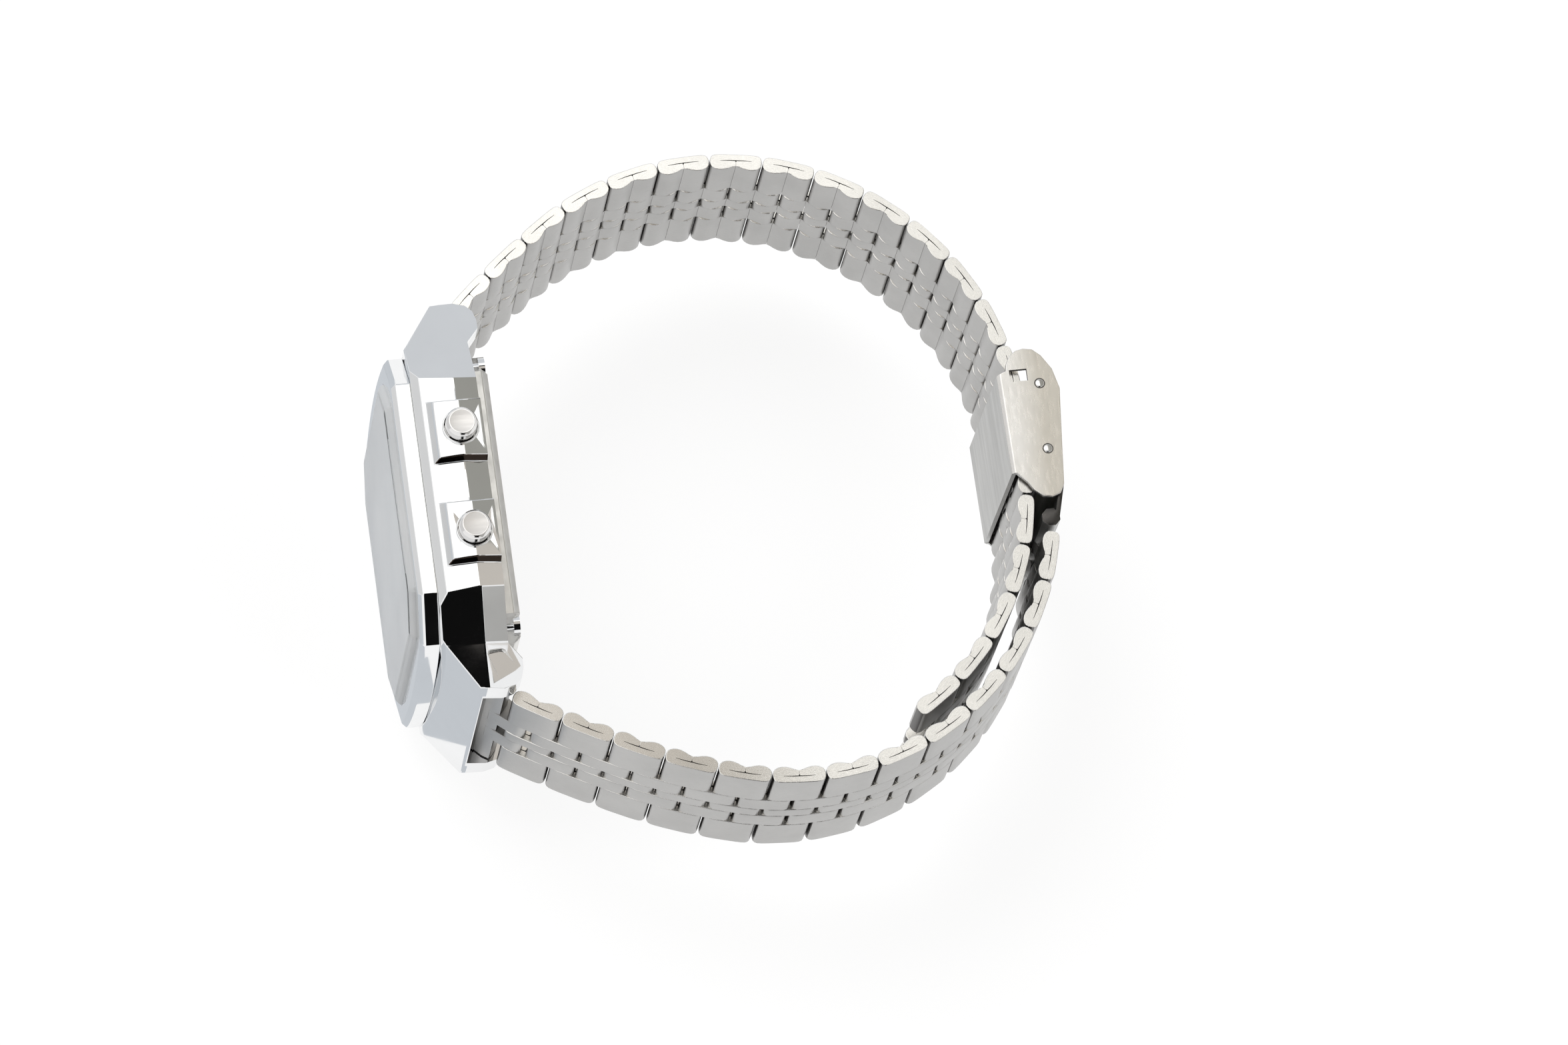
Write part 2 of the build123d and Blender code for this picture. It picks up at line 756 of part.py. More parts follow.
def wide_link(pin_side):
    rows = [link_row(row) for row in (1, 3, 5)]
    if pin_side == 0:
        return rows
    spot = pin_side * pitch / 4
    rows = [row - channel(spot, pin_radius) for row in rows]
    return rows + [plain_rod(spot, 0, pin_radius, -pin_half_length, pin_half_length)]


def narrow_link(hole_side):
    rows = [link_row(row) for row in (2, 4)]
    if hole_side == 0:
        return rows
    return [row - channel(hole_side * pitch / 4, pin_radius + pin_clearance) for row in rows]


def chain_frames(start_x, start_y, heading, turns, side):
    frames = []
    x = start_x
    y = start_y
    angle = heading
    for step in range(len(turns) + 1):
        if step > 0:
            angle = angle + turns[step - 1]
        dx = math.cos(math.radians(angle)) * pitch / 2
        dy = math.sin(math.radians(angle)) * pitch / 2
        turned = angle if side > 0 else angle + 180
        frames.append((x, y, x + dx / 2, y + dy / 2, turned))
        x = x + dx
        y = y + dy
    frames.append((x, y, x, y, angle))
    return frames


def start_point(side):
    angle = upper_start_angle if side > 0 else lower_start_angle
    x = -bar_depth + end_reach * math.cos(math.radians(angle))
    y = side * bar_y + end_reach * math.sin(math.radians(angle))
    return x, y


def upper_frames():
    x, y = start_point(1)
    return chain_frames(x, y, upper_heading, upper_turns, 1)


def lower_frames():
    x, y = start_point(-1)
    return chain_frames(x, y, lower_heading, lower_turns, -1)


def place(shapes, frame):
    spot = Pos(frame[2], frame[3], 0) * Rot(0, 0, frame[4])
    return [spot * shape for shape in shapes]


def chain_piece(frames, first, last, side, pinned=True, holed=True):
    # Links first to last, counted from the case in half pitches. Even ones are wide links.
    solids = []
    for step in range(first, last + 1):
        if step % 2 == 0:
            pin_side = -side if step == first and pinned else 0
            solids = solids + place(wide_link(pin_side), frames[step])
        else:
            hole_side = side if step == last and holed else 0
            solids = solids + place(narrow_link(hole_side), frames[step])
    return solids


def run_of_links(name, frames, steps, side, holed):
    # The chain in pieces of a few links each, from the case outwards
    pieces = {}
    for first in range(0, steps, piece_steps):
        last = min(first + piece_steps, steps) - 1
        number = first // piece_steps + 1
        pieces[name + str(number)] = chain_piece(frames, first, last, side, holed=holed or last < steps - 1)
    return pieces


def end_piece(side):
    # Full-width sleeve on the spring bar, and two tongues that reach into the first link
    angle = upper_start_angle if side > 0 else lower_start_angle
    corner = end_ring_radius / math.cos(math.radians(22.5))
    turns = [math.radians(22.5 + 45 * index) for index in range(8)]
    ring = [(corner * math.cos(turn), corner * math.sin(turn)) for turn in turns]
    sleeve = prism(ring, "z", -half_width, half_width)
    blade = [
        (0, end_ring_radius), (end_reach - lobe_foot / 2, plate_top), (end_reach + lobe_foot / 2, plate_low),
        (end_reach + lobe_foot / 2, -lobe_knee), (end_reach + lobe_knee, -lobe_low), (0, -end_ring_radius),
    ]
    if side < 0:
        blade = [(s, -t) for s, t in blade]
    shape = sleeve
    for row in (2, 4):
        low, high = row_limits()[row]
        shape = shape + prism(blade, "z", low, high)
    shape = shape - rod(0, 0, bar_radius + bar_clearance, -half_width, half_width)
    shape = shape - channel(end_reach, pin_radius + pin_clearance)
    return Pos(-bar_depth, side * bar_y, 0) * Rot(0, 0, angle) * shape


# Clasp
def clasp_wall_outline():
    return [(clasp_inner_x + u * clasp_depth, clasp_low_y + v * clasp_length) for u, v in wall_shares]


def clasp_body():
    wall = wall_outer_z - sheet
    body = prism(clasp_wall_outline(), "z", wall, wall_outer_z)
    body = body + prism(clasp_wall_outline(), "z", -wall_outer_z, -wall)
    plate = block(clasp_inner_x, clasp_inner_x + sheet, plate_start_y, plate_end_y,
                  -wall_outer_z, wall_outer_z)
    body = body + plate
    folds = [
        edge for edge in body.edges()
        if abs(edge.center().X - clasp_inner_x) < seat_clearance
        and abs(abs(edge.center().Z) - wall_outer_z) < seat_clearance
        and abs(edge.tangent_at(0.5).Y) > 0.9
    ]
    body = chamfer(folds, fold_edge)
    body = body - block(hole_centre_x - hole_half_x, hole_centre_x + hole_half_x,
                        hole_centre_y - hole_half_y, hole_centre_y + hole_half_y, wall, wall_outer_z)
    body = body - rod(cover_pin_x, cover_pin_y, clasp_pin_radius, -wall_outer_z, wall_outer_z)
    body = body - rod(catch_pin_x, catch_pin_y, catch_pin_radius, -wall_outer_z, wall_outer_z)
    return body


def hinge_pin():
    return rod(cover_pin_x, cover_pin_y, clasp_pin_radius, -wall_outer_z, wall_outer_z)


def catch_pin():
    return rod(catch_pin_x, catch_pin_y, catch_pin_radius, -wall_outer_z, wall_outer_z)


def hook_centre():
    frame = lower_frames()[-1]
    return frame[0], frame[1]


def clasp_cover():
    side_z = wall_outer_z - sheet - cover_side_gap
    hook_x, hook_y = hook_centre()
    outer = [
        (cover_pin_x + cover_curl_radius, cover_pin_y), (cover_bow_x, cover_bow_high_y),
        (cover_bow_x, cover_bow_low_y), (cover_knee_x, cover_knee_y), (hook_x + hook_radius, hook_y),
    ]
    inner = [(x - cover_sheet, y) for x, y in reversed(outer)]
    shape = prism(outer + inner, "z", -side_z, side_z)
    shape = shape + rod(cover_pin_x, cover_pin_y, cover_curl_radius, -side_z, side_z)
    corner = hook_radius / math.cos(math.radians(22.5))
    turns = [math.radians(22.5 + 45 * index) for index in range(8)]
    hook = [(hook_x + corner * math.cos(turn), hook_y + corner * math.sin(turn)) for turn in turns]
    shape = shape + prism(hook, "z", -side_z, side_z)
    for z_sign in (-1, 1):
        low = min(z_sign * claw_inner_z, z_sign * claw_outer_z)
        high = max(z_sign * claw_inner_z, z_sign * claw_outer_z)
        shape = shape + block(claw_x, cover_bow_x - cover_sheet / 2, catch_pin_y - claw_half_height,
                              catch_pin_y + claw_half_height, low, high)
    for row in (2, 4):
        low, high = row_limits()[row]
        shape = shape - block(hook_x - hook_radius, cover_bow_x, hook_y - 2 * hook_radius,
                              hook_y + 1.5 * hook_radius, low, high)
    shape = shape - rod(cover_pin_x, cover_pin_y, clasp_pin_radius + pin_clearance, -side_z, side_z)
    shape = shape - Pos(hook_x, hook_y, 0) * channel(0, pin_radius)
    return shape


def cover_bar():
    hook_x, hook_y = hook_centre()
    return rod(hook_x, hook_y, pin_radius, -pin_half_length, pin_half_length)


def lock_plate():
    curl = rod(catch_pin_x, catch_pin_y, lock_curl_radius, -lock_half_width, lock_half_width)
    leaf = block(catch_pin_x - lock_curl_radius, catch_pin_x - lock_curl_radius + lock_sheet,
                 catch_pin_y, lock_end_y, -lock_half_width, lock_half_width)
    hole = rod(catch_pin_x, catch_pin_y, catch_pin_radius + pin_clearance, -lock_half_width, lock_half_width)
    return curl + leaf - hole


# Output
def solids_of(shape):
    found = []
    items = shape if isinstance(shape, list) else [shape]
    for item in items:
        found = found + list(item.solids())
    return found


def build_all():
    upper = upper_frames()
    lower = lower_frames()
    parts = {
        "case_body": case_body(),
        "bezel": bezel(),
        "crystal": crystal(),
        "crystal_gasket": crystal_gasket(),
        "dial_plate": dial_plate(),
        "lcd_panel": lcd_panel(),
        "backlight_panel": backlight_panel(),
        "contact_strips": contact_strips(),
        "module_frame": module_frame(),
        "circuit_board": circuit_board(),
        "chip_cover": chip_cover(),
        "quartz_can": quartz_can(),
        "battery": battery(),
        "battery_clip": battery_clip(),
        "battery_contact": battery_contact(),
        "buzzer_contact": buzzer_contact(),
        "piezo_buzzer": piezo_buzzer(),
        "back_cover": back_cover(),
        "back_gasket": back_gasket(),
        "cover_screws": cover_screws(),
        "spring_bars": [spring_bar(1), spring_bar(-1)],
        "upper_end_piece": end_piece(1),
        "lower_end_piece": end_piece(-1),
        "clasp_body": clasp_body(),
        "hinge_pin": hinge_pin(),
        "catch_pin": catch_pin(),
        "clasp_cover": clasp_cover(),
        "cover_bar": cover_bar(),
        "lock_plate": lock_plate(),
    }
    names = ["light", "mode", "alarm"]
    for name, (y, z_sign) in zip(names, button_places()):
        parts[name + "_button"] = [on_side(shape, z_sign) for shape in button(y)]
        parts[name + "_spring"] = on_side(button_spring(y), z_sign)
    parts.update(run_of_links("upper_links_", upper, upper_steps, 1, False))
    parts.update(run_of_links("lower_links_", lower, lower_steps, -1, True))
    clasp_first = upper_steps + held_steps
    tail_first = clasp_first + clasp_steps
    parts["held_links"] = chain_piece(upper, upper_steps, clasp_first - 1, 1, pinned=False)
    parts["clasp_links"] = chain_piece(upper, clasp_first, tail_first - 1, 1)
    parts.update(run_of_links("tail_links_", upper[tail_first:], tail_steps, 1, True))
    return parts


os.makedirs("parts", exist_ok=True)
for node_name, node_shape in build_all().items():
    export_step(Compound(children=solids_of(node_shape)), os.path.join("parts", node_name + ".step"))
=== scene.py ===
# %% [markdown]
# # A digital wristwatch with a link bracelet
# The real object is a steel case with an eight-sided bezel, a raised clear crystal and three push
# buttons, worn on a bracelet of folded steel links with a folding clasp. The exact solids come
# ready made. This lesson adds what they lack: rounded folds, polished edges, brushed grain, a
# printed dial and a small studio to see it all in.

# %% Load the solids
import json
import math
import bmesh
import bpy
from mathutils import Matrix, Vector


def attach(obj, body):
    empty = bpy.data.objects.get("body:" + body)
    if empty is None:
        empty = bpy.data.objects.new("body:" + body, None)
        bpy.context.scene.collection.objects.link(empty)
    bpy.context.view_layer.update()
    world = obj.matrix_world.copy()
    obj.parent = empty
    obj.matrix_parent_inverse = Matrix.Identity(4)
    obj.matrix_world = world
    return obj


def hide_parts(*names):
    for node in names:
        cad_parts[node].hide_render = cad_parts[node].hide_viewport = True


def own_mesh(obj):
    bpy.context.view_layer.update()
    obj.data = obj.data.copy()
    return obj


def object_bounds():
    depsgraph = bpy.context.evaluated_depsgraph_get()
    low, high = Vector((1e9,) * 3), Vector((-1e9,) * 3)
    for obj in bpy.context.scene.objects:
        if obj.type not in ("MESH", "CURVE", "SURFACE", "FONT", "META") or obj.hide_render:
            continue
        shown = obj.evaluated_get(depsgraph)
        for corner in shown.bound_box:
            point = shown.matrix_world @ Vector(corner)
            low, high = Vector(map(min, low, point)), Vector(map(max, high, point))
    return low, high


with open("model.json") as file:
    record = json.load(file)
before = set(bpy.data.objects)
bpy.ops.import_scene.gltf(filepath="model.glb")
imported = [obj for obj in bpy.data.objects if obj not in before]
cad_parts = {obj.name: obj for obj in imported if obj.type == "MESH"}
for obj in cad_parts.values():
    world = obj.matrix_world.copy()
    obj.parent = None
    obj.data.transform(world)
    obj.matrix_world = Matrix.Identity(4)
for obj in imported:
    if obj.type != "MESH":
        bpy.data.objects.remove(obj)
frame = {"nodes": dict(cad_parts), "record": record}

nodes = frame["nodes"]
solid_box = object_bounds()
MM = 0.001
print("solids span", [round((b - a) / MM, 2) for a, b in zip(*solid_box)], "mm")

# %% [markdown]
# ## Working habits
# Blender's operators act on whatever is selected, so each step selects one thing only and then
# calls its operator. Meshes could also be built from lists in code, but operators are what one
# uses in the window. Everything is in metres, and places are in millimetres times MM.


# %% Selection helpers
def only(piece):
    if bpy.context.object and bpy.context.object.mode != "OBJECT":
        bpy.ops.object.mode_set(mode="OBJECT")
    bpy.ops.object.select_all(action="DESELECT")
    if piece:
        piece.select_set(True)
        bpy.context.view_layer.objects.active = piece


def edit(piece, kind="FACE"):
    only(piece)
    bpy.ops.object.mode_set(mode="EDIT")
    bpy.ops.mesh.select_mode(type=kind)
    bpy.ops.mesh.select_all(action="DESELECT")


def done():
    bpy.ops.object.mode_set(mode="OBJECT")


only(None)
print("objects selected at the start:", len(bpy.context.selected_objects))

# %% [markdown]
# ## Camera
# A long lens stands 0.8 m away and looks down on the watch, which lies on its side. A camera can
# be aimed with a constraint, but three directions written out need no helper object: they are
# the camera's right, up and backward sides, and each becomes one column of its matrix.

# %% Camera
eye = Vector((-98.014, -269.748, 747.252)) * MM
right = Vector((0.98359, -0.13823, 0.11592))
up = Vector((0.08977, 0.93239, 0.35014))
back = Vector((-0.15647, -0.33398, 0.92950))
sensor_wide = 36
focal_length = 194.29
bpy.ops.object.camera_add()
camera = bpy.context.object
camera.name = "camera"
camera.matrix_world = Matrix((
    (right.x, up.x, back.x, eye.x),
    (right.y, up.y, back.y, eye.y),
    (right.z, up.z, back.z, eye.z),
    (0, 0, 0, 1),
))
camera.data.sensor_width = sensor_wide
camera.data.lens = focal_length
camera.data.clip_end = 20
bpy.context.scene.camera = camera
bpy.context.scene.view_settings.view_transform = "Standard"
print("camera stands", round(eye.length, 3), "m from the watch")

# %% [markdown]
# ## Materials from nodes
# Every finish below is a short chain of nodes: a position, a stretched noise, and a ramp that
# turns the noise into colour. Painted pictures could do the same, but a chain of nodes has no
# seams and stays sharp at any distance.


# %% Node helpers
def new_material(name):
    made = bpy.data.materials.new(name)
    made.use_nodes = True
    shader = made.node_tree.nodes["Principled BSDF"]
    return made, made.node_tree, shader


def noise(tree, scale, stretch=(1, 1, 1), detail=3.0, uv=None):
    where = tree.nodes.new("ShaderNodeTexCoord")
    source = where.outputs["Object"]
    if uv:
        layer = tree.nodes.new("ShaderNodeUVMap")
        layer.uv_map = uv
        source = layer.outputs["UV"]
    mapping = tree.nodes.new("ShaderNodeMapping")
    mapping.inputs["Scale"].default_value = stretch
    tree.links.new(source, mapping.inputs["Vector"])
    made = tree.nodes.new("ShaderNodeTexNoise")
    made.inputs["Scale"].default_value = scale
    made.inputs["Detail"].default_value = detail
    tree.links.new(mapping.outputs["Vector"], made.inputs["Vector"])
    return made.outputs["Fac"]


def tint(tree, source, dark, light):
    ramp = tree.nodes.new("ShaderNodeValToRGB")
    ramp.color_ramp.elements[0].position = noise_low
    ramp.color_ramp.elements[0].color = (*dark, 1)
    ramp.color_ramp.elements[1].position = noise_high
    ramp.color_ramp.elements[1].color = (*light, 1)
    tree.links.new(source, ramp.inputs["Fac"])
    return ramp.outputs["Color"]


noise_low = 0.3
noise_high = 0.7
print("noise is read from", noise_low, "to", noise_high)

# %% [markdown]
# ## Floor
# The watch lies on a white table. A plain white surface would turn grey in the picture, and
# polished steel should mirror a bright room. So for the camera, for mirrors and for glass most of
# the floor glows, and the rest stays matt and takes the soft shadow. The Light Path node tells
# these rays from the others, which meet the matt surface only.


# %% Floor finish
def ray_share(tree, kinds=("Is Camera Ray", "Is Glossy Ray", "Is Transmission Ray")):
    path = tree.nodes.new("ShaderNodeLightPath")
    total = path.outputs[kinds[0]]
    for kind in kinds[1:]:
        both = tree.nodes.new("ShaderNodeMath")
        both.operation = "MAXIMUM"
        tree.links.new(total, both.inputs[0])
        tree.links.new(path.outputs[kind], both.inputs[1])
        total = both.outputs["Value"]
    return total


def floor_finish(glow_share):
    made, tree, shader = new_material("pale_floor")
    shader.inputs["Roughness"].default_value = 0.9
    shader.inputs["Specular IOR Level"].default_value = 0.0
    grain = noise(tree, 40, detail=2)
    tree.links.new(tint(tree, grain, (0.93, 0.93, 0.93), (0.95, 0.95, 0.95)), shader.inputs["Base Color"])
    glow = tree.nodes.new("ShaderNodeEmission")
    glow.inputs["Color"].default_value = (1, 1, 1, 1)
    glow.inputs["Strength"].default_value = 1.0
    share = tree.nodes.new("ShaderNodeMath")
    share.operation = "MULTIPLY"
    share.inputs[1].default_value = glow_share
    tree.links.new(ray_share(tree), share.inputs[0])
    mix = tree.nodes.new("ShaderNodeMixShader")
    tree.links.new(share.outputs["Value"], mix.inputs["Fac"])
    tree.links.new(shader.outputs["BSDF"], mix.inputs[1])
    tree.links.new(glow.outputs["Emission"], mix.inputs[2])
    tree.links.new(mix.outputs["Shader"], tree.nodes["Material Output"].inputs["Surface"])
    return made


pale_floor = floor_finish(0.86)
print("made", pale_floor.name)

# %% Floor
floor_gap = 0.02
only(None)
floor_z = solid_box[0].z - floor_gap * MM
bpy.ops.mesh.primitive_plane_add(size=6, location=(0, 0, floor_z))
floor = bpy.context.object
floor.name = "floor"
floor.data.materials.append(pale_floor)
print("floor lies at", round(floor_z / MM, 2), "mm")

# %% [markdown]
# ## Room light
# A bright room lights the watch evenly from all round. The world could be a picture of a room,
# but a plain white one suits a plain studio. What the camera and the mirrors see is full white,
# and the light that it throws on matt surfaces is about half as strong, so nothing pale clips.
# Two wide lamps give that light a side, and mirrors don't show them.

# %% World
room_light = 0.55
world = bpy.data.worlds.new("white_room")
bpy.context.scene.world = world
world.use_nodes = True
room = world.node_tree
seen = room.nodes["Background"]
seen.inputs["Color"].default_value = (1, 1, 1, 1)
seen.inputs["Strength"].default_value = 1.0
lit = room.nodes.new("ShaderNodeBackground")
lit.inputs["Color"].default_value = (1.0, 0.99, 0.97, 1)
lit.inputs["Strength"].default_value = room_light
choose = room.nodes.new("ShaderNodeMixShader")
room.links.new(ray_share(room), choose.inputs["Fac"])
room.links.new(lit.outputs["Background"], choose.inputs[1])
room.links.new(seen.outputs["Background"], choose.inputs[2])
room.links.new(choose.outputs["Shader"], room.nodes["World Output"].inputs["Surface"])
print("room light", room_light)


# %% Lamps
def soft_lamp(name, place, size, watts):
    bpy.ops.object.light_add(type="AREA", location=Vector(place))
    lamp = bpy.context.object
    lamp.name = name
    lamp.data.shape = "DISK"
    lamp.data.size = size
    lamp.data.energy = watts
    aim = watch_middle - lamp.location
    lamp.rotation_mode = "QUATERNION"
    lamp.rotation_quaternion = aim.to_track_quat("-Z", "Y")
    lamp.visible_glossy = False
    print(name, "gives", watts, "W")


watch_middle = Vector((0.02, 0, 0))
soft_lamp("key_lamp", (-0.5, 0.6, 1.1), 0.9, 14)
soft_lamp("fill_lamp", (0.9, -0.5, 0.9), 0.9, 7)

# %% [markdown]
# ## Cards
# Polished steel shows only what it mirrors, so a studio stands cards round it. The line of sight,
# mirrored at a facet, says where the card for that facet must stand. Black is for facets that
# look up and to 12 o'clock, blue for those that look up and to 6 o'clock, stone and khaki for
# those that lean to the back, pale for the shoulder on the dial's side, and bright for faces that
# look nearly straight up. A small warm card hangs over the first lower links. Two blue-grey ones
# lie on the table, a wide one before the dial and a narrow one by the lower lug. Lamps would
# light the rest as well, but these cards show in mirrors only.


# %% Card
def card(name, towards, wide, tall, colour, distance=0.5, around=(0, 0, 0), tall_way=(0, 1, 0)):
    # A flat sheet that faces one spot of the watch, given in millimetres
    made, tree, shader = new_material(name)
    glow = tree.nodes.new("ShaderNodeEmission")
    glow.inputs["Color"].default_value = (*colour, 1)
    tree.links.new(glow.outputs["Emission"], tree.nodes["Material Output"].inputs["Surface"])
    direction = Vector(towards).normalized()
    along = Vector(tall_way)
    along = (along - along.dot(direction) * direction).normalized()
    across = along.cross(-direction)
    spot = Vector(around) * MM + direction * distance
    bpy.ops.mesh.primitive_plane_add(size=1)
    sheet = bpy.context.object
    sheet.name = name
    sheet.data.transform(Matrix.Diagonal((wide, tall, 1, 1)))
    sheet.data.transform(Matrix((
        (across.x, along.x, -direction.x, spot.x),
        (across.y, along.y, -direction.y, spot.y),
        (across.z, along.z, -direction.z, spot.z),
        (0, 0, 0, 1),
    )))
    sheet.data.materials.append(made)
    sheet.visible_camera = False
    sheet.visible_diffuse = False
    sheet.visible_shadow = False
    sheet.visible_transmission = False
    print(name, "stands", round(spot.length, 2), "m away")


# %% Cards in the room
card("black_card", (0.10, -0.52, 0.85), 0.24, 0.80, (0.005, 0.005, 0.005))
card("stone_card", (0.60, -0.55, 0.58), 0.26, 0.5, (0.44, 0.435, 0.42))
card("khaki_card", (0.593, 0.334, 0.7325), 0.394, 0.4, (0.35, 0.345, 0.315))
card("blue_card", (0.156, 0.872, 0.464), 0.5, 0.56, (0.68, 0.70, 0.725), tall_way=(0, 0, 1))
card("bright_card", (-0.065, 0.36, 0.93), 0.38, 0.21, (1.42, 1.41, 1.38))
card("pale_card", (-0.90, 0.334, 0.28), 0.36, 0.6, (0.74, 0.74, 0.74))

# %% Cards close to the watch
down = (0, 0, -1)
just_over_floor = 0.01805
table_blue = (0.60, 0.63, 0.665)
card("warm_card", (0.156, 0.334, 0.93), 0.03, 0.03, (0.60, 0.56, 0.51), 0.06, (6, -24, 9))
card("table_card", down, 0.2, 0.235, table_blue, just_over_floor, (-109.5, 82.5, 0))
card("lug_card", down, 0.0045, 0.015, table_blue, just_over_floor, (-7.25, -27.5, 0))
only(None)

# %% [markdown]
# ## Steel finishes
# One alloy, several finishes. The case is polished and then lightly worn, so its roughness is
# almost nothing, with a faint cloud of smudges. A flat value would look like a computer's
# chrome, so a noise varies it by a little, and a very low bump breaks the mirror.


# %% Polished steel
def spread(tree, source, low, high):
    span = tree.nodes.new("ShaderNodeMapRange")
    span.inputs["From Min"].default_value = noise_low
    span.inputs["From Max"].default_value = noise_high
    span.inputs["To Min"].default_value = low
    span.inputs["To Max"].default_value = high
    tree.links.new(source, span.inputs["Value"])
    return span.outputs["Result"]


def relief(tree, shader, source, strength, depth):
    bump = tree.nodes.new("ShaderNodeBump")
    bump.inputs["Strength"].default_value = strength
    bump.inputs["Distance"].default_value = depth * MM
    tree.links.new(source, bump.inputs["Height"])
    tree.links.new(bump.outputs["Normal"], shader.inputs["Normal"])


def polished(name, colour, rough=0.05):
    made, tree, shader = new_material(name)
    shader.inputs["Metallic"].default_value = 1.0
    cloud = noise(tree, 260, detail=4)
    tree.links.new(spread(tree, cloud, rough * 0.6, rough * 1.7), shader.inputs["Roughness"])
    darker = tuple(c * 0.97 for c in colour)
    tree.links.new(tint(tree, cloud, darker, colour), shader.inputs["Base Color"])
    ripple = noise(tree, 900, detail=1)
    relief(tree, shader, ripple, 0.05, 0.01)
    print("made", name)
    return made


chrome = polished("polished_steel", (0.86, 0.865, 0.87), 0.045)
bezel_chrome = polished("bezel_steel", (0.88, 0.885, 0.89), 0.04)
# The flanks' colour is painted shade: polished steel made nearly black where the bosses look to 12
# o'clock.
flank_painted_shade = polished("flank_painted_shade", (0.07, 0.05, 0.04), 0.12)

# %% [markdown]
# ## Brushed steel
# The bracelet and the back are satin: fine scratches that all run one way. An anisotropic
# shader can fake them from afar. Here a noise is stretched up to twenty times along the brushing,
# and it drives both the roughness and a low bump, so the scratches also hold close up.


# %% Brushed steel
def brushed(name, colour, rough, stretch, uv=None, strength=0.25, scale=1600, depth=0.01):
    made, tree, shader = new_material(name)
    shader.inputs["Metallic"].default_value = 1.0
    lines = noise(tree, scale, stretch, uv=uv)
    cloud = noise(tree, 220)
    tree.links.new(spread(tree, lines, rough * 0.8, rough * 1.25), shader.inputs["Roughness"])
    darker = tuple(c * 0.9 for c in colour)
    tree.links.new(tint(tree, cloud, darker, colour), shader.inputs["Base Color"])
    relief(tree, shader, lines, strength, depth)
    print("made", name)
    return made


satin_plate = brushed("satin_plate", (0.47, 0.465, 0.455), 0.34, (1.0, 0.05, 1.0), uv="grain", scale=24)
edge_face = brushed("edge_face", (0.97, 0.95, 0.91), 0.27, (0.08, 1.0, 1.0), uv="grain", scale=30)
plate_satin = brushed("plate_satin", (0.50, 0.50, 0.49), 0.38, (1, 0.05, 1), scale=2200)
cover_grain = brushed("cover_grain", (0.80, 0.79, 0.76), 0.36, (1, 1, 0.06),
                      scale=900, strength=0.8, depth=0.03)
# This nearly black steel is painted shade for the link ends in the gaps, the end pieces' ends, the clasp's
# hole walls, the cover's cut sides and the rings round the rivets.
gap_painted_shade = brushed("gap_painted_shade", (0.10, 0.095, 0.09), 0.3, (1, 1, 0.1), scale=1500)
spring_steel = brushed("spring_steel", (0.45, 0.45, 0.45), 0.3, (1, 1, 0.1), scale=1500)

# %% [markdown]
# ## Blasted clasp wall
# The clasp's two walls are blasted, so they have no direction. Their colour goes from white at the
# wrist side to beige at the outer rim, and this change is painted light. Two materials would meet
# in a hard line. One material reads its place along X instead and adds a soft mottle, so the
# change is gradual.


# %% Blasted wall
def blasted_with_painted_light(name, inner_x, outer_x):
    made, tree, shader = new_material(name)
    shader.inputs["Metallic"].default_value = 1.0
    where = tree.nodes.new("ShaderNodeTexCoord")
    split = tree.nodes.new("ShaderNodeSeparateXYZ")
    tree.links.new(where.outputs["Object"], split.inputs["Vector"])
    # The white to beige change along X is painted light, not a colour of the steel.
    across = tree.nodes.new("ShaderNodeMapRange")
    across.inputs["From Min"].default_value = inner_x * MM
    across.inputs["From Max"].default_value = outer_x * MM
    across.inputs["To Min"].default_value = 0.2
    across.inputs["To Max"].default_value = 0.8
    tree.links.new(split.outputs["X"], across.inputs["Value"])
    mottle = noise(tree, 160)
    blend = tree.nodes.new("ShaderNodeMath")
    blend.operation = "MULTIPLY_ADD"
    blend.inputs[1].default_value = 0.25
    tree.links.new(mottle, blend.inputs[0])
    tree.links.new(across.outputs["Result"], blend.inputs[2])
    tree.links.new(tint(tree, blend.outputs["Value"], (0.97, 0.95, 0.92), (0.72, 0.68, 0.61)),
                   shader.inputs["Base Color"])
    grain = noise(tree, 2600, (1, 0.3, 1))
    tree.links.new(spread(tree, grain, 0.24, 0.34), shader.inputs["Roughness"])
    relief(tree, shader, grain, 0.35, 0.012)
    print("made", name)
    return made


# The walls' blasted grain and mottle are their own, and their white to beige change is painted light.
wall_satin_painted_light = blasted_with_painted_light("wall_satin_painted_light", 49.5, 54.0)

# %% [markdown]
# ## Mouldings and rubber
# The parts inside are plain mouldings, but each one still has a surface of its own: a fine
# spark texture on the frame, a soft cloud on rubber, and a green varnish over the board's
# weave. One recipe serves them all, with another colour and gloss each time.


# %% Mouldings
def moulded(name, light, rough, scale=700, depth=0.02):
    made, tree, shader = new_material(name)
    grain = noise(tree, scale, detail=4)
    tree.links.new(spread(tree, grain, rough * 0.85, rough * 1.15), shader.inputs["Roughness"])
    darker = tuple(c * 0.82 for c in light)
    tree.links.new(tint(tree, grain, darker, light), shader.inputs["Base Color"])
    relief(tree, shader, grain, 0.3, depth)
    print("made", name)
    return made


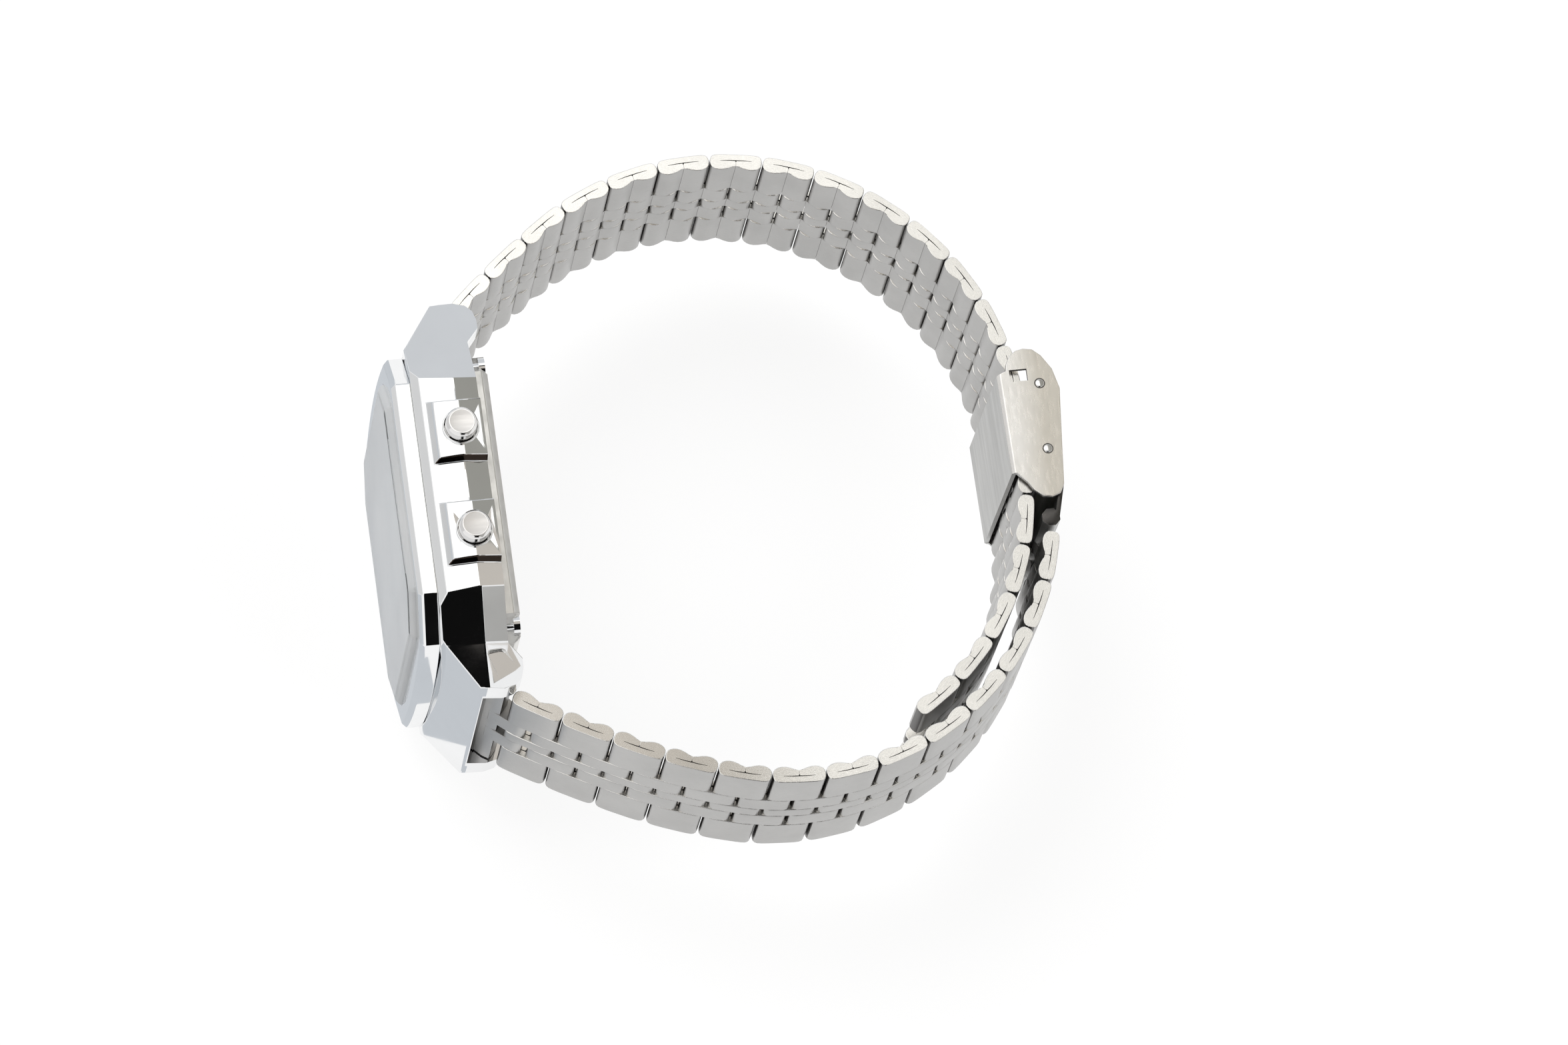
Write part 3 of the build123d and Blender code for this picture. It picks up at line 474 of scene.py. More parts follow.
rubber = moulded("seal_rubber", (0.035, 0.035, 0.035), 0.8)
frame_plastic = moulded("frame_plastic", (0.12, 0.12, 0.125), 0.55)
dial_black = moulded("dial_black", (0.17, 0.175, 0.18), 0.35)
light_sheet = moulded("light_sheet", (0.72, 0.78, 0.76), 0.6)
chip_resin = moulded("chip_resin", (0.03, 0.03, 0.03), 0.5)
varnish = moulded("board_varnish", (0.07, 0.22, 0.10), 0.25, 1100)
lcd_film = moulded("lcd_film", (0.46, 0.49, 0.43), 0.3, 1600, 0.005)
ink = moulded("white_ink", (0.78, 0.79, 0.8), 0.5)
digit_ink = moulded("digit_ink", (0.045, 0.05, 0.05), 0.4)
brass = brushed("brass_disc", (0.72, 0.56, 0.27), 0.3, (1, 1, 0.2), scale=1200)

# %% [markdown]
# ## Crystal
# The crystal is a thick clear moulding. Seen straight on it is clear, and seen at a flat angle
# it turns pale, because its surface mirrors the room and its inside gathers light. Clear glass
# alone shows too much of the dark dial from the side, so Layer Weight mixes in a pale surface
# as the view flattens. Its cut sides get a pale material of their own.


# %% Clear glass
def clear_glass():
    made, tree, shader = new_material("clear_glass")
    shader.inputs["Base Color"].default_value = (0.97, 0.985, 0.99, 1)
    shader.inputs["Transmission Weight"].default_value = 1.0
    shader.inputs["IOR"].default_value = lens_index
    smudge = noise(tree, 120, detail=4)
    tree.links.new(spread(tree, smudge, 0.0, 0.035), shader.inputs["Roughness"])
    pale = tree.nodes.new("ShaderNodeBsdfPrincipled")
    tree.links.new(tint(tree, smudge, (0.50, 0.51, 0.52), (0.56, 0.565, 0.57)), pale.inputs["Base Color"])
    pale.inputs["Roughness"].default_value = 0.3
    flatness = tree.nodes.new("ShaderNodeLayerWeight")
    flatness.inputs["Blend"].default_value = 0.5
    amount = tree.nodes.new("ShaderNodeMapRange")
    amount.inputs["From Min"].default_value = 0.55
    amount.inputs["From Max"].default_value = 0.85
    amount.inputs["To Max"].default_value = 0.85
    tree.links.new(flatness.outputs["Facing"], amount.inputs["Value"])
    mix = tree.nodes.new("ShaderNodeMixShader")
    tree.links.new(amount.outputs["Result"], mix.inputs["Fac"])
    tree.links.new(shader.outputs["BSDF"], mix.inputs[1])
    tree.links.new(pale.outputs["BSDF"], mix.inputs[2])
    tree.links.new(mix.outputs["Shader"], tree.nodes["Material Output"].inputs["Surface"])
    return made


def moulded_edge():
    made, tree, shader = new_material("pale_edge")
    cloud = noise(tree, 90)
    tree.links.new(tint(tree, cloud, (0.42, 0.43, 0.44), (0.47, 0.475, 0.48)), shader.inputs["Base Color"])
    tree.links.new(spread(tree, cloud, 0.06, 0.14), shader.inputs["Roughness"])
    shader.inputs["IOR"].default_value = lens_index
    return made


lens_index = 1.49
glass = clear_glass()
pale_edge = moulded_edge()
print("made", glass.name, "and", pale_edge.name)

# %% [markdown]
# ## Pieces that start as a copy of their solid
# The case, bezel, crystal and clasp are machined or pressed, and their solids are already exact.
# Drawing them again could only lose accuracy. So a copy is merged and cleaned, and then its
# outer edges are rounded in edit mode. A thin rounded edge is what makes polished steel look
# real, because it catches a line of light.


# %% Copy
def body_of_node(node):
    for body, members in frame["record"]["behaviour"]["bodies"].items():
        if node in members:
            return body


def cleaned(piece):
    edit(piece)
    bpy.ops.mesh.select_all(action="SELECT")
    bpy.ops.mesh.remove_doubles(threshold=merge_reach * MM)
    bpy.ops.mesh.dissolve_limited(angle_limit=math.radians(flat_turn))
    done()


def copy_of(node, name):
    only(nodes[node])
    piece = nodes[node].copy()
    piece.data = nodes[node].data.copy()
    for key in list(piece.keys()):
        del piece[key]
    piece.parent = None
    piece.name = name
    bpy.context.scene.collection.objects.link(piece)
    piece.data.materials.clear()
    cleaned(piece)
    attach(piece, body_of_node(node))
    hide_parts(node)
    print(name, "starts with", len(piece.data.polygons), "faces")
    return piece


merge_reach = 0.004
flat_turn = 0.6
case = copy_of("case_body", "case_shell")

# %% [markdown]
# ## Choosing by place
# By hand one would click each face or edge. A script can't click, so it asks every face where
# its middle is and which way it looks, and every edge how long it is and how sharply it turns.
# A short test then says yes or no.


# %% Choosing helpers
def pick_faces(piece, test):
    mesh = bmesh.from_edit_mesh(piece.data)
    for face in mesh.faces:
        face.select_set(test(face.calc_center_median() / MM, face.normal))
    bmesh.update_edit_mesh(piece.data)


def pick_edges(piece, test):
    mesh = bmesh.from_edit_mesh(piece.data)
    count = 0
    for edge in mesh.edges:
        if len(edge.link_faces) != 2:
            continue
        turn = math.degrees(edge.calc_face_angle(0))
        middle = (edge.verts[0].co + edge.verts[1].co) / 2 / MM
        if test(middle, edge.calc_length() / MM, turn):
            edge.select_set(True)
            count += 1
    bmesh.update_edit_mesh(piece.data)
    return count


def round_edges(piece, width, test, segments=3):
    edit(piece, "EDGE")
    count = pick_edges(piece, test)
    if count:
        bpy.ops.mesh.bevel(offset=width * MM, segments=segments, profile=0.5, clamp_overlap=True)
    done()
    print(piece.name, "rounded", count, "edges")


def finish_faces(piece, materials, choose_one=None):
    # choose_one gets a face's middle in millimetres and its normal, and gives a material's number
    for material in materials:
        piece.data.materials.append(material)
    if choose_one:
        for polygon in piece.data.polygons:
            polygon.material_index = choose_one(polygon.center / MM, polygon.normal)


# %% [markdown]
# ## Case: pockets and tapers
# The real lugs are smooth and narrow a little towards their tips, and the corner facets lean
# back behind the ridge that runs along the side. Scaling the whole case would spoil its fits.
# Instead the shallow pockets are pushed out flush, a cut is laid along the ridge, and single
# corners are moved by how far out and how far back they are. The upper rear corner of each facet
# first moves in to where the facet starts at the ridge, because the facet bends otherwise.

# %% Lug pockets
pocket_z = 12.85
pocket_depth = 0.15
rear_x = -1.6
boss_rear_x = -1.65


def fill_pocket(side):
    edit(case)
    pick_faces(case, lambda c, n: abs(c.z - side * pocket_z) < 0.02 and abs(c.y) > 15 and abs(n.z) > 0.9)
    bpy.ops.transform.translate(value=(0, 0, side * pocket_depth * MM))
    done()
    cleaned(case)


for vertex in case.data.vertices:
    if abs(vertex.co.x / MM - boss_rear_x) < 0.02:
        vertex.co.x = rear_x * MM
for side in (-1, 1):
    fill_pocket(side)
print("case has", len(case.data.polygons), "faces with its pockets filled")

# %% Corner tapers
ridge_x = -3.8
corner_z = 12.2
facet_start = 10.38
facet_middle = 13.0
facet_end = 15.0
lug_taper_share = 0.2
rear_taper_share = 0.16


def taper_lugs():
    edit(case)
    bpy.ops.mesh.select_all(action="SELECT")
    bpy.ops.mesh.bisect(plane_co=(ridge_x * MM, 0, 0), plane_no=(1, 0, 0))
    done()
    for vertex in case.data.vertices:
        x, y, z = vertex.co / MM
        if abs(z) < corner_z or abs(y) < facet_start:
            continue
        if x > ridge_x + 0.1 and abs(y) < facet_middle:
            vertex.co.y = math.copysign(facet_start * MM, y)
            continue
        along = min(1.0, (abs(y) - facet_start) / (facet_end - facet_start))
        fall = rear_taper_share * max(0.0, x - ridge_x) * along
        fall += lug_taper_share * max(0.0, abs(y) - facet_end)
        vertex.co.z -= math.copysign(fall * MM, z)


taper_lugs()
tip_y = max(abs(vertex.co.y) for vertex in case.data.vertices) / MM
print("lug tips fall by", round(lug_taper_share * (tip_y - facet_end), 2), "mm")

# %% [markdown]
# ## Case: polished edges
# Polishing wheels leave every outer edge with a soft radius of about a fifth of a millimetre.
# A Bevel modifier would round the inside too, where nothing shows. So only outer edges are
# chosen: not those in the strap's notch, and not those round the button holes. Where two of
# the rounded edges meet at almost no angle, the bevel throws a corner far out, and it is set back.

# %% Case edges
buttons = (("light", -5.1, 1), ("mode", 5.1, 1), ("alarm", 5.1, -1))
button_x = -3.8
button_room = 1.75
side_wall_z = 11.8
end_wall_y = 13.6
notch_half = 9.4
front_limit_x = -7.8
rear_limit_x = -1.7
rear_edge_z = 15.45
edge_round = 0.2


def outer_case_edge(middle, length, turn):
    outside = abs(middle.z) > side_wall_z or abs(middle.y) > end_wall_y
    in_notch = abs(middle.z) < notch_half
    at_button = any(math.hypot(middle.x - button_x, middle.y - y) < button_room and middle.z * side > 0
                    for name, y, side in buttons)
    at_side = front_limit_x < middle.x < rear_limit_x
    return outside and not in_notch and not at_button and turn > 4 and length > 0.5 and at_side


round_edges(case, edge_round, outer_case_edge)
for vertex in case.data.vertices:
    x, y, z = vertex.co / MM
    if x > rear_x + 0.01 and abs(z) > 13.5:
        vertex.co = Vector((rear_x, y, math.copysign(rear_edge_z, z))) * MM

# %% [markdown]
# ## Case: windows in the lower lugs
# Each lower lug has a small sunk window with round corners and a flat floor. It could be inset
# from the lug's face, but the face is a long one, and an inset follows the whole of it. So a
# block of the window's outline is drawn, its upright edges are rounded, and it is cut away.


# %% Lug windows
def extruded(name, points, low, high):
    # A filled ring of points at height low, pulled up to height high
    only(None)
    bpy.ops.mesh.primitive_circle_add(vertices=len(points), radius=1, fill_type="NGON")
    piece = bpy.context.object
    piece.name = name
    for vertex, (x, y) in zip(piece.data.vertices, points):
        vertex.co = Vector((x, y, low)) * MM
    edit(piece)
    bpy.ops.mesh.select_all(action="SELECT")
    bpy.ops.mesh.extrude_region_move(TRANSFORM_OT_translate={"value": (0, 0, (high - low) * MM)})
    bpy.ops.mesh.select_all(action="SELECT")
    bpy.ops.mesh.normals_make_consistent(inside=False)
    done()
    return piece


window_outline = [(-3.7, -15.75), (-2.1, -15.6), (-0.95, -17.2), (-0.95, -18.0), (-2.6, -18.8)]
window_floor_z = 12.2
cutter_top_z = 14.0
window_corner = 0.35


def upright_edge(middle, length, turn):
    halfway = (window_floor_z + cutter_top_z) / 2
    return turn > 20 and length > 1.7 and abs(abs(middle.z) - halfway) < 0.1


def lug_window(side):
    cutter = extruded("window_cutter", window_outline,
                      *sorted((side * window_floor_z, side * cutter_top_z)))
    edit(cutter, "EDGE")
    pick_edges(cutter, upright_edge)
    bpy.ops.mesh.bevel(offset=window_corner * MM, segments=4, profile=0.5)
    done()
    only(case)
    cut = case.modifiers.new("window", "BOOLEAN")
    cut.operation = "DIFFERENCE"
    cut.object = cutter
    bpy.ops.object.modifier_apply(modifier=cut.name)
    only(cutter)
    bpy.ops.object.delete()


def in_window(middle):
    return -4.0 < middle.x < -0.6 and -19.2 < middle.y < -15.3


def window_edge(middle, length, turn):
    return turn > 30 and in_window(middle) and 12.0 < abs(middle.z) < 13.1


for side in (-1, 1):
    lug_window(side)
round_edges(case, 0.07, window_edge, segments=2)

# %% [markdown]
# ## Case: shading
# Rounded rims bend the light, and that bend must not leak into the wide flat facets. Weighted
# normals let each wide face keep its own direction, so the facets mirror cleanly and only the
# rims turn. The bosses' flanks that look to 12 o'clock get painted shade, a nearly black steel
# colour, and the windows' walls satin.


# %% Case finish
def smooth(piece, angle=35):
    only(piece)
    bpy.ops.object.shade_smooth_by_angle(angle=math.radians(angle))


def evened(piece):
    only(piece)
    weigh = piece.modifiers.new("evened", "WEIGHTED_NORMAL")
    weigh.keep_sharp = True
    bpy.ops.object.modifier_apply(modifier=weigh.name)


# Faces in on_flank get painted shade, a nearly black polished steel.
def case_material(centre, normal):
    in_wall = in_window(centre) and 12.1 < abs(centre.z) < 12.78 and abs(normal.z) < 0.9
    on_flank = normal.y < -0.6 and 15.9 < abs(centre.z) < 16.8 and abs(centre.y) < 8.6
    return 2 if in_wall else 1 if on_flank else 0


finish_faces(case, (chrome, flank_painted_shade, cover_grain), case_material)
smooth(case, 30)
evened(case)
print("case has", len(case.data.polygons), "faces")

# %% [markdown]
# ## Bezel and crystal
# The bezel is a thin polished ring, and the crystal a thick clear moulding with a wide chamfer
# all round. Both keep their solids' shape. The bezel needs only a hairline of roundness, and
# the crystal, moulded and then buffed, a generous one. Its front stands a little lower here.

# %% Bezel
bezel = copy_of("bezel", "bezel_ring")
round_edges(bezel, 0.1, lambda m, length, turn: turn > 12 and (abs(m.z) > 13.2 or abs(m.y) > 13.0))
finish_faces(bezel, (bezel_chrome,))
smooth(bezel, 30)
evened(bezel)

# %% Crystal
lens_front_x = -10.2
lens_sink = 0.25
crystal = copy_of("crystal", "crystal_lens")
for vertex in crystal.data.vertices:
    if vertex.co.x < lens_front_x * MM:
        vertex.co.x += lens_sink * MM
round_edges(crystal, 0.3, lambda m, length, turn: turn > 12 and m.x < -8.9, segments=4)
finish_faces(crystal, (glass, pale_edge), lambda centre, normal: 1 if abs(normal.x) < 0.9 else 0)
smooth(crystal, 50)
evened(crystal)

# %% [markdown]
# ## Case back
# A pressed plate with coarse straight brushing, held by four small screws. The plate's rim is
# rounded, and the screws keep their solids.

# %% Back plate and screws
cover = copy_of("back_cover", "back_plate")
round_edges(cover, 0.1, lambda m, length, turn: turn > 12 and m.x > -0.9 and length > 1.0)
finish_faces(cover, (cover_grain,))
smooth(cover, 30)
evened(cover)
screws = copy_of("cover_screws", "cross_screws")
finish_faces(screws, (chrome,))
smooth(screws, 30)

# %% [markdown]
# ## Buttons
# Each button is turned on a lathe: a cap with a polished chamfer and a satin top, and a stem
# with a clip that stops it from falling out. A cylinder is the same shape that a lathe makes.
# Its top rim is bevelled once for the chamfer and again for a hairline, and its top is inset.

# %% Button materials and sizes
cap_side = polished("cap_side", (0.82, 0.81, 0.80), 0.12)
cap_top = brushed("cap_top", (0.88, 0.86, 0.84), 0.4, (0.05, 1, 1), scale=2600, strength=0.2)
cap_radius = 1.48
cap_low_z = 14.9
cap_top_z = 18.15
cap_chamfer = 0.26
stem_radius = 0.6
stem_low_z = 11.7
stem_top_z = 14.95
clip_radius = 1.15
clip_low_z = 12.0
clip_top_z = 12.2


# %% Buttons
def turned(name, radius, low, high, place, segments=64):
    only(None)
    bpy.ops.mesh.primitive_cylinder_add(vertices=segments, radius=radius * MM, depth=(high - low) * MM,
                                        location=Vector((place[0], place[1], (low + high) / 2)) * MM)
    piece = bpy.context.object
    piece.name = name
    bpy.ops.object.transform_apply(location=True, rotation=True, scale=True)
    return piece


def shape_cap(cap, sign):
    edit(cap, "EDGE")
    pick_edges(cap, lambda m, length, turn: turn > 45 and sign * m.z > 18.0)
    bpy.ops.mesh.bevel(offset=cap_chamfer * MM, segments=1)
    bpy.ops.mesh.select_all(action="DESELECT")
    pick_edges(cap, lambda m, length, turn: turn > 25 and sign * m.z > 17.5)
    bpy.ops.mesh.bevel(offset=0.035 * MM, segments=2, profile=0.5)
    bpy.ops.mesh.select_mode(type="FACE")
    bpy.ops.mesh.select_all(action="DESELECT")
    pick_faces(cap, lambda c, n: sign * n.z > 0.99 and sign * c.z > 18.1)
    bpy.ops.mesh.inset(thickness=0.06 * MM, depth=-0.012 * MM)
    done()


def button(name, y, sign):
    place = (button_x, y)
    cap = turned(name + "_cap", cap_radius, *sorted((sign * cap_low_z, sign * cap_top_z)), place)
    shape_cap(cap, sign)
    finish_faces(cap, (cap_side, cap_top), lambda centre, normal: 1 if sign * normal.z > 0.99 else 0)
    stem = turned(name + "_stem", stem_radius, *sorted((sign * stem_low_z, sign * stem_top_z)), place, 32)
    clip = turned(name + "_clip", clip_radius, *sorted((sign * clip_low_z, sign * clip_top_z)), place, 32)
    for piece in (stem, clip):
        finish_faces(piece, (spring_steel,))
    only(cap)
    stem.select_set(True)
    clip.select_set(True)
    bpy.ops.object.join()
    smooth(cap, 25)
    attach(cap, name)
    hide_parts(name + "_button")
    print(cap.name, "has", len(cap.data.polygons), "faces")


for name, y, sign in buttons:
    button(name, y, sign)

# %% [markdown]
# ## Button springs
# A folded leaf of spring steel lies under each stem and pushes the button out again. A stiff
# leaf would stick into the button when it goes in. Here each leaf is a copy of its solid in
# spring steel, with a mesh of its own.


# %% Button springs
def button_leaf(name):
    leaf = copy_of(name + "_spring", name + "_leaf")
    finish_faces(leaf, (spring_steel,))
    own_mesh(leaf)


for name, y, sign in buttons:
    button_leaf(name)

# %% [markdown]
# ## Collars
# A thin polished ring lines each button's hole and stands a little proud of the boss. A torus
# is that ring as it is, so nothing more is done to it.


# %% Collars
def collar(name, y, sign):
    only(None)
    bpy.ops.mesh.primitive_torus_add(major_radius=collar_radius * MM, minor_radius=collar_wire * MM,
                                     major_segments=64, minor_segments=12,
                                     location=Vector((button_x, y, sign * collar_z)) * MM)
    ring = bpy.context.object
    ring.name = name
    bpy.ops.object.transform_apply(location=True, rotation=True, scale=True)
    bpy.ops.object.shade_smooth()
    finish_faces(ring, (chrome,))
    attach(ring, "case")
    print("made", name)


collar_radius = 1.66
collar_wire = 0.09
collar_z = 16.72
for name, y, sign in buttons:
    collar(name + "_collar", y, sign)

# %% [markdown]
# ## Dial
# Under the crystal lies a printed plate with a window, and in the window the liquid crystal
# panel. A picture could carry the print, but thin bars of ink laid on the plate stay sharp and
# need no image. Only plain marks are printed here: frame lines.


# %% Dial print
def strip(name, y, z, wide, tall, x, material):
    only(None)
    bpy.ops.mesh.primitive_cube_add(size=1, location=Vector((x, y, z)) * MM)
    bar = bpy.context.object
    bar.name = name
    bar.scale = Vector((ink_thick, wide, tall)) * MM
    bpy.ops.object.transform_apply(location=True, rotation=True, scale=True)
    finish_faces(bar, (material,))
    return bar


def joined(name, pieces, body):
    only(pieces[0])
    for piece in pieces[1:]:
        piece.select_set(True)
    if len(pieces) > 1:
        bpy.ops.object.join()
    whole = bpy.context.object
    whole.name = name
    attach(whole, body)
    print(name, "joins", len(pieces), "pieces")
    return whole


ink_thick = 0.02
dial_x = -8.71
lines = []
for y in (-6.6, 6.6):
    lines.append(strip("line", y, 0, 0.25, 20.4, dial_x, ink))
for z in (-10.2, 10.2):
    lines.append(strip("line", 0, z, 13.4, 0.25, dial_x, ink))
for z in (-10.9, 10.9):
    lines.append(strip("line", 0, z, 16.5, 0.12, dial_x, ink))
joined("dial_lines", lines, "case")

# %% [markdown]
# ## Figures
# The panel shows a time in seven-bar figures. Each figure is the same seven bars, and a letter
# for each bar says which of them are on. A text object would need a font of this kind. Read
# from the front, -Z runs to the right and -Y is up.

# %% Figures
bars_of = {
    "0": "abcdef", "1": "bc", "2": "abged", "3": "abgcd", "4": "fgbc",
    "5": "afgcd", "6": "afgedc", "7": "abc", "8": "abcdefg", "9": "abfgcd",
}
panel_x = -7.805
base_y = 3.6
bar_share = 0.13
long_share = 0.84
upright_share = 0.42


def figure(text, start, tall):
    made = []
    wide = tall / 2
    thick = tall * bar_share
    for place, letter in enumerate(text):
        left = start - place * wide * 1.45
        spots = {
            "a": (base_y - tall, left - wide / 2, 0), "g": (base_y - tall / 2, left - wide / 2, 0),
            "d": (base_y, left - wide / 2, 0), "f": (base_y - tall * 0.75, left, 1),
            "b": (base_y - tall * 0.75, left - wide, 1), "e": (base_y - tall * 0.25, left, 1),
            "c": (base_y - tall * 0.25, left - wide, 1),
        }
        for key in bars_of[letter]:
            y, z, upright = spots[key]
            if upright:
                made.append(strip("bar", y, z, tall * upright_share, thick, panel_x, digit_ink))
            else:
                made.append(strip("bar", y, z, thick, wide * long_share, panel_x, digit_ink))
    return made


bars = figure("10", 9.4, 5.2) + figure("58", 1.4, 5.2) + figure("37", -5.4, 3.0)
for y in (-0.6, 2.2):
    bars.append(strip("dot", y, 2.3, 0.5, 0.5, panel_x, digit_ink))
joined("lcd_figures", bars, "case")

# %% [markdown]
# ## Folded links
# Each row of the bracelet is a strip of steel folded round into two lobes that meet in the
# middle, so its cut end shows a rounded outline with a fine slit. A strip could be bent with
# modifiers, but the outline is what shows. It is drawn once as a filled ring of points, pulled
# out to the row's width, and its rims are bevelled. Copies of a few rows make the bracelet.

# %% Link outline
half_outline = [
    (0.9, 0.9), (1.6, 0.88), (2.0, 0.84), (2.24, 0.75), (2.39, 0.6), (2.47, 0.36), (2.49, 0.05),
    (2.43, -0.27), (2.24, -0.5), (1.95, -0.65), (1.6, -0.72), (1.2, -0.7), (0.75, -0.58), (0.35, -0.42),
    (0.08, -0.32),
]
slit = [
    (0.012, -0.3), (0.012, 0.10), (0.06, 0.15), (0.06, 0.21), (0.65, 0.225), (1.5, 0.2), (1.5, 0.235),
    (0.65, 0.3), (0.05, 0.3),
]
right_half = half_outline + slit
left_half = [(-s, t) for s, t in reversed(right_half)]
link_points = [(0, 0.9)] + right_half + left_half
print("the link's outline has", len(link_points), "points")


# %% Link rows
def grain_map(piece):
    # Along the strip on the long faces, and flat across on the two cut ends
    layer = piece.data.uv_layers.new(name="grain")
    for polygon in piece.data.polygons:
        flat = abs(polygon.normal.z) > 0.8
        for loop in polygon.loop_indices:
            co = piece.data.vertices[piece.data.loops[loop].vertex_index].co / MM
            layer.data[loop].uv = (co.x, co.y) if flat else (co.z, co.x - co.y)


def pick_outer_rims(piece):
    mesh = bmesh.from_edit_mesh(piece.data)
    for edge in mesh.edges:
        ends = [vertex.co / MM for vertex in edge.verts]
        level = abs(ends[0].z - ends[1].z) < 0.01
        outside = all(abs(end.x) > 1.4 or end.y > 0.5 or end.y < -0.31 for end in ends)
        edge.select_set(level and outside)
    bmesh.update_edit_mesh(piece.data)


# The rounded ends that face the next link across a gap get painted shade, a nearly black steel (number 2).
def link_material(centre, normal):
    if abs(normal.z) > 0.9:
        return 1
    return 2 if abs(normal.x) > 0.9 and abs(centre.x) > 2.3 else 0


def link_row(name, low, high, rim):
    piece = extruded(name, link_points, low + row_gap, high - row_gap)
    edit(piece, "EDGE")
    pick_outer_rims(piece)
    bpy.ops.mesh.bevel(offset=rim * MM, segments=2, profile=0.5, clamp_overlap=False)
    done()
    grain_map(piece)
    finish_faces(piece, (satin_plate, edge_face, gap_painted_shade), link_material)
    smooth(piece, 40)
    for polygon in piece.data.polygons:
        if abs(polygon.normal.z) > 0.9:
            polygon.use_smooth = False
    evened(piece)
    return piece


row_gap = 0.03
row_limits = {1: (3.58, 9.0), 2: (0.89, 3.58), 3: (-0.89, 0.89), 4: (-3.58, -0.89), 5: (-9.0, -3.58)}
rim_of_row = {1: 0.07, 2: 0.11, 3: 0.11, 4: 0.11, 5: 0.07}
masters = {row: link_row("row_" + str(row), low, high, rim_of_row[row])
           for row, (low, high) in row_limits.items()}
print("one outer row has", len(masters[1].data.polygons), "faces")

# %% [markdown]
# ## The bracelet's line
# The chain leaves the case at each end and turns a few degrees at every hinge, half a pitch
# apart. A curve with an Array modifier could carry the links, but then they'd miss their hinges
# by a little. The turns below are those of the solids, so every link lands on its own solid.

# %% Chain line
pitch = 5.05
lug_hole = (-2.4, 17.4)
first_step = 3.1
upper_end_angle = 64.9
lower_end_angle = -44.0


def chain(angle, heading, turns, side):
    x = lug_hole[0] + first_step * math.cos(math.radians(angle))
    y = side * lug_hole[1] + first_step * math.sin(math.radians(angle))
    frames = []
    for turn in [0] + turns:
        heading += turn
        dx = math.cos(math.radians(heading)) * pitch / 2
        dy = math.sin(math.radians(heading)) * pitch / 2
        frames.append((x + dx / 2, y + dy / 2, heading if side > 0 else heading + 180))
        x += dx
        y += dy
    return frames


upper = chain(upper_end_angle, 42.9, [-1.8] * 4 + [-5.42] * 22 + [-3.0] * 6 + [-5.4] * 9, 1)
lower = chain(lower_end_angle, -30.65, [1.25] * 4 + [2.7] * 4 + [5.7] * 9 + [5.35] * 8, -1)
print("upper chain", len(upper), "half pitches, lower chain", len(lower))

# %% [markdown]
# ## Laying the links
# The middle row and the two outer rows sit on the even half pitches, and the two rows between
# them on the odd ones, like bricks in a wall. Each group of rows that turns as one is joined,
# so that it rides on its own body.


# %% Lay the links
def lay_links(node, frames, first, last):
    made = []
    for step in range(first, last + 1):
        x, y, angle = frames[step]
        spot = Matrix.Translation(Vector((x, y, 0)) * MM) @ Matrix.Rotation(math.radians(angle), 4, "Z")
        for row in ((1, 3, 5) if step % 2 == 0 else (2, 4)):
            copy = masters[row].copy()
            copy.data = masters[row].data.copy()
            copy.data.transform(spot)
            bpy.context.scene.collection.objects.link(copy)
            made.append(copy)
    piece = joined(node + "_folded", made, body_of_node(node))
    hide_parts(node)


for index in range(5):
    lay_links("upper_links_" + str(index + 1), upper, 4 * index, 4 * index + 3)
lay_links("upper_links_6", upper, 20, 21)
for index in range(6):
    lay_links("lower_links_" + str(index + 1), lower, 4 * index, 4 * index + 3)
lay_links("lower_links_7", lower, 24, 25)
lay_links("held_links", upper, 22, 25)
lay_links("clasp_links", upper, 26, 31)
lay_links("tail_links_1", upper, 32, 35)
lay_links("tail_links_2", upper, 36, 39)
lay_links("tail_links_3", upper, 40, 40)
only(None)
for master in masters.values():
    master.select_set(True)
bpy.ops.object.delete()

# %% [markdown]
# ## End pieces
# A sheet is rolled round the spring bar at each lug, and two tongues reach from it into the
# first link. The roll is an arc worked out by sine and cosine, the rest of each outline a few
# points. Both are pulled out to their widths like the links, and turned to the lug's angle.

# %% End piece outlines
ring = 1.15
arc = [(ring * math.cos(math.radians(a)), ring * math.sin(math.radians(a))) for a in range(150, 271, 12)]
sleeve = [(-0.75, 1.08), (-0.4, 1.15)] + arc
sleeve = sleeve + [(0.7, -1.02), (1.05, -0.75), (1.25, -0.3), (1.35, 0.6), (1.3, 0.95), (0.6, 1.1)]
tongue = [
    (0.2, 1.14), (2.2, 0.98), (3.2, 0.86), (3.75, 0.7), (4.0, 0.4), (3.95, 0.0), (3.7, -0.4),
    (3.2, -0.66), (2.6, -0.75), (1.4, -0.9), (0.2, -1.0),
]
print("sleeve", len(sleeve), "points, tongue", len(tongue))


# %% End pieces
def fold(points, low, high, angle, side):
    piece = extruded("fold", [(s, side * t) for s, t in points], low, high)
    edit(piece, "EDGE")
    pick_edges(piece, lambda m, length, turn: turn > 60)
    bpy.ops.mesh.bevel(offset=0.1 * MM, segments=2, profile=0.5, clamp_overlap=True)
    done()
    grain_map(piece)
    # The end pieces' faces that look along the chain get painted shade, a nearly black steel.
    finish_faces(piece, (satin_plate, gap_painted_shade), lambda centre, normal: 1 if abs(normal.x) > 0.85 else 0)
    smooth(piece, 40)
    evened(piece)
    spot = Matrix.Translation(Vector((lug_hole[0], side * lug_hole[1], 0)) * MM)
    piece.data.transform(spot @ Matrix.Rotation(math.radians(angle), 4, "Z"))
    return piece


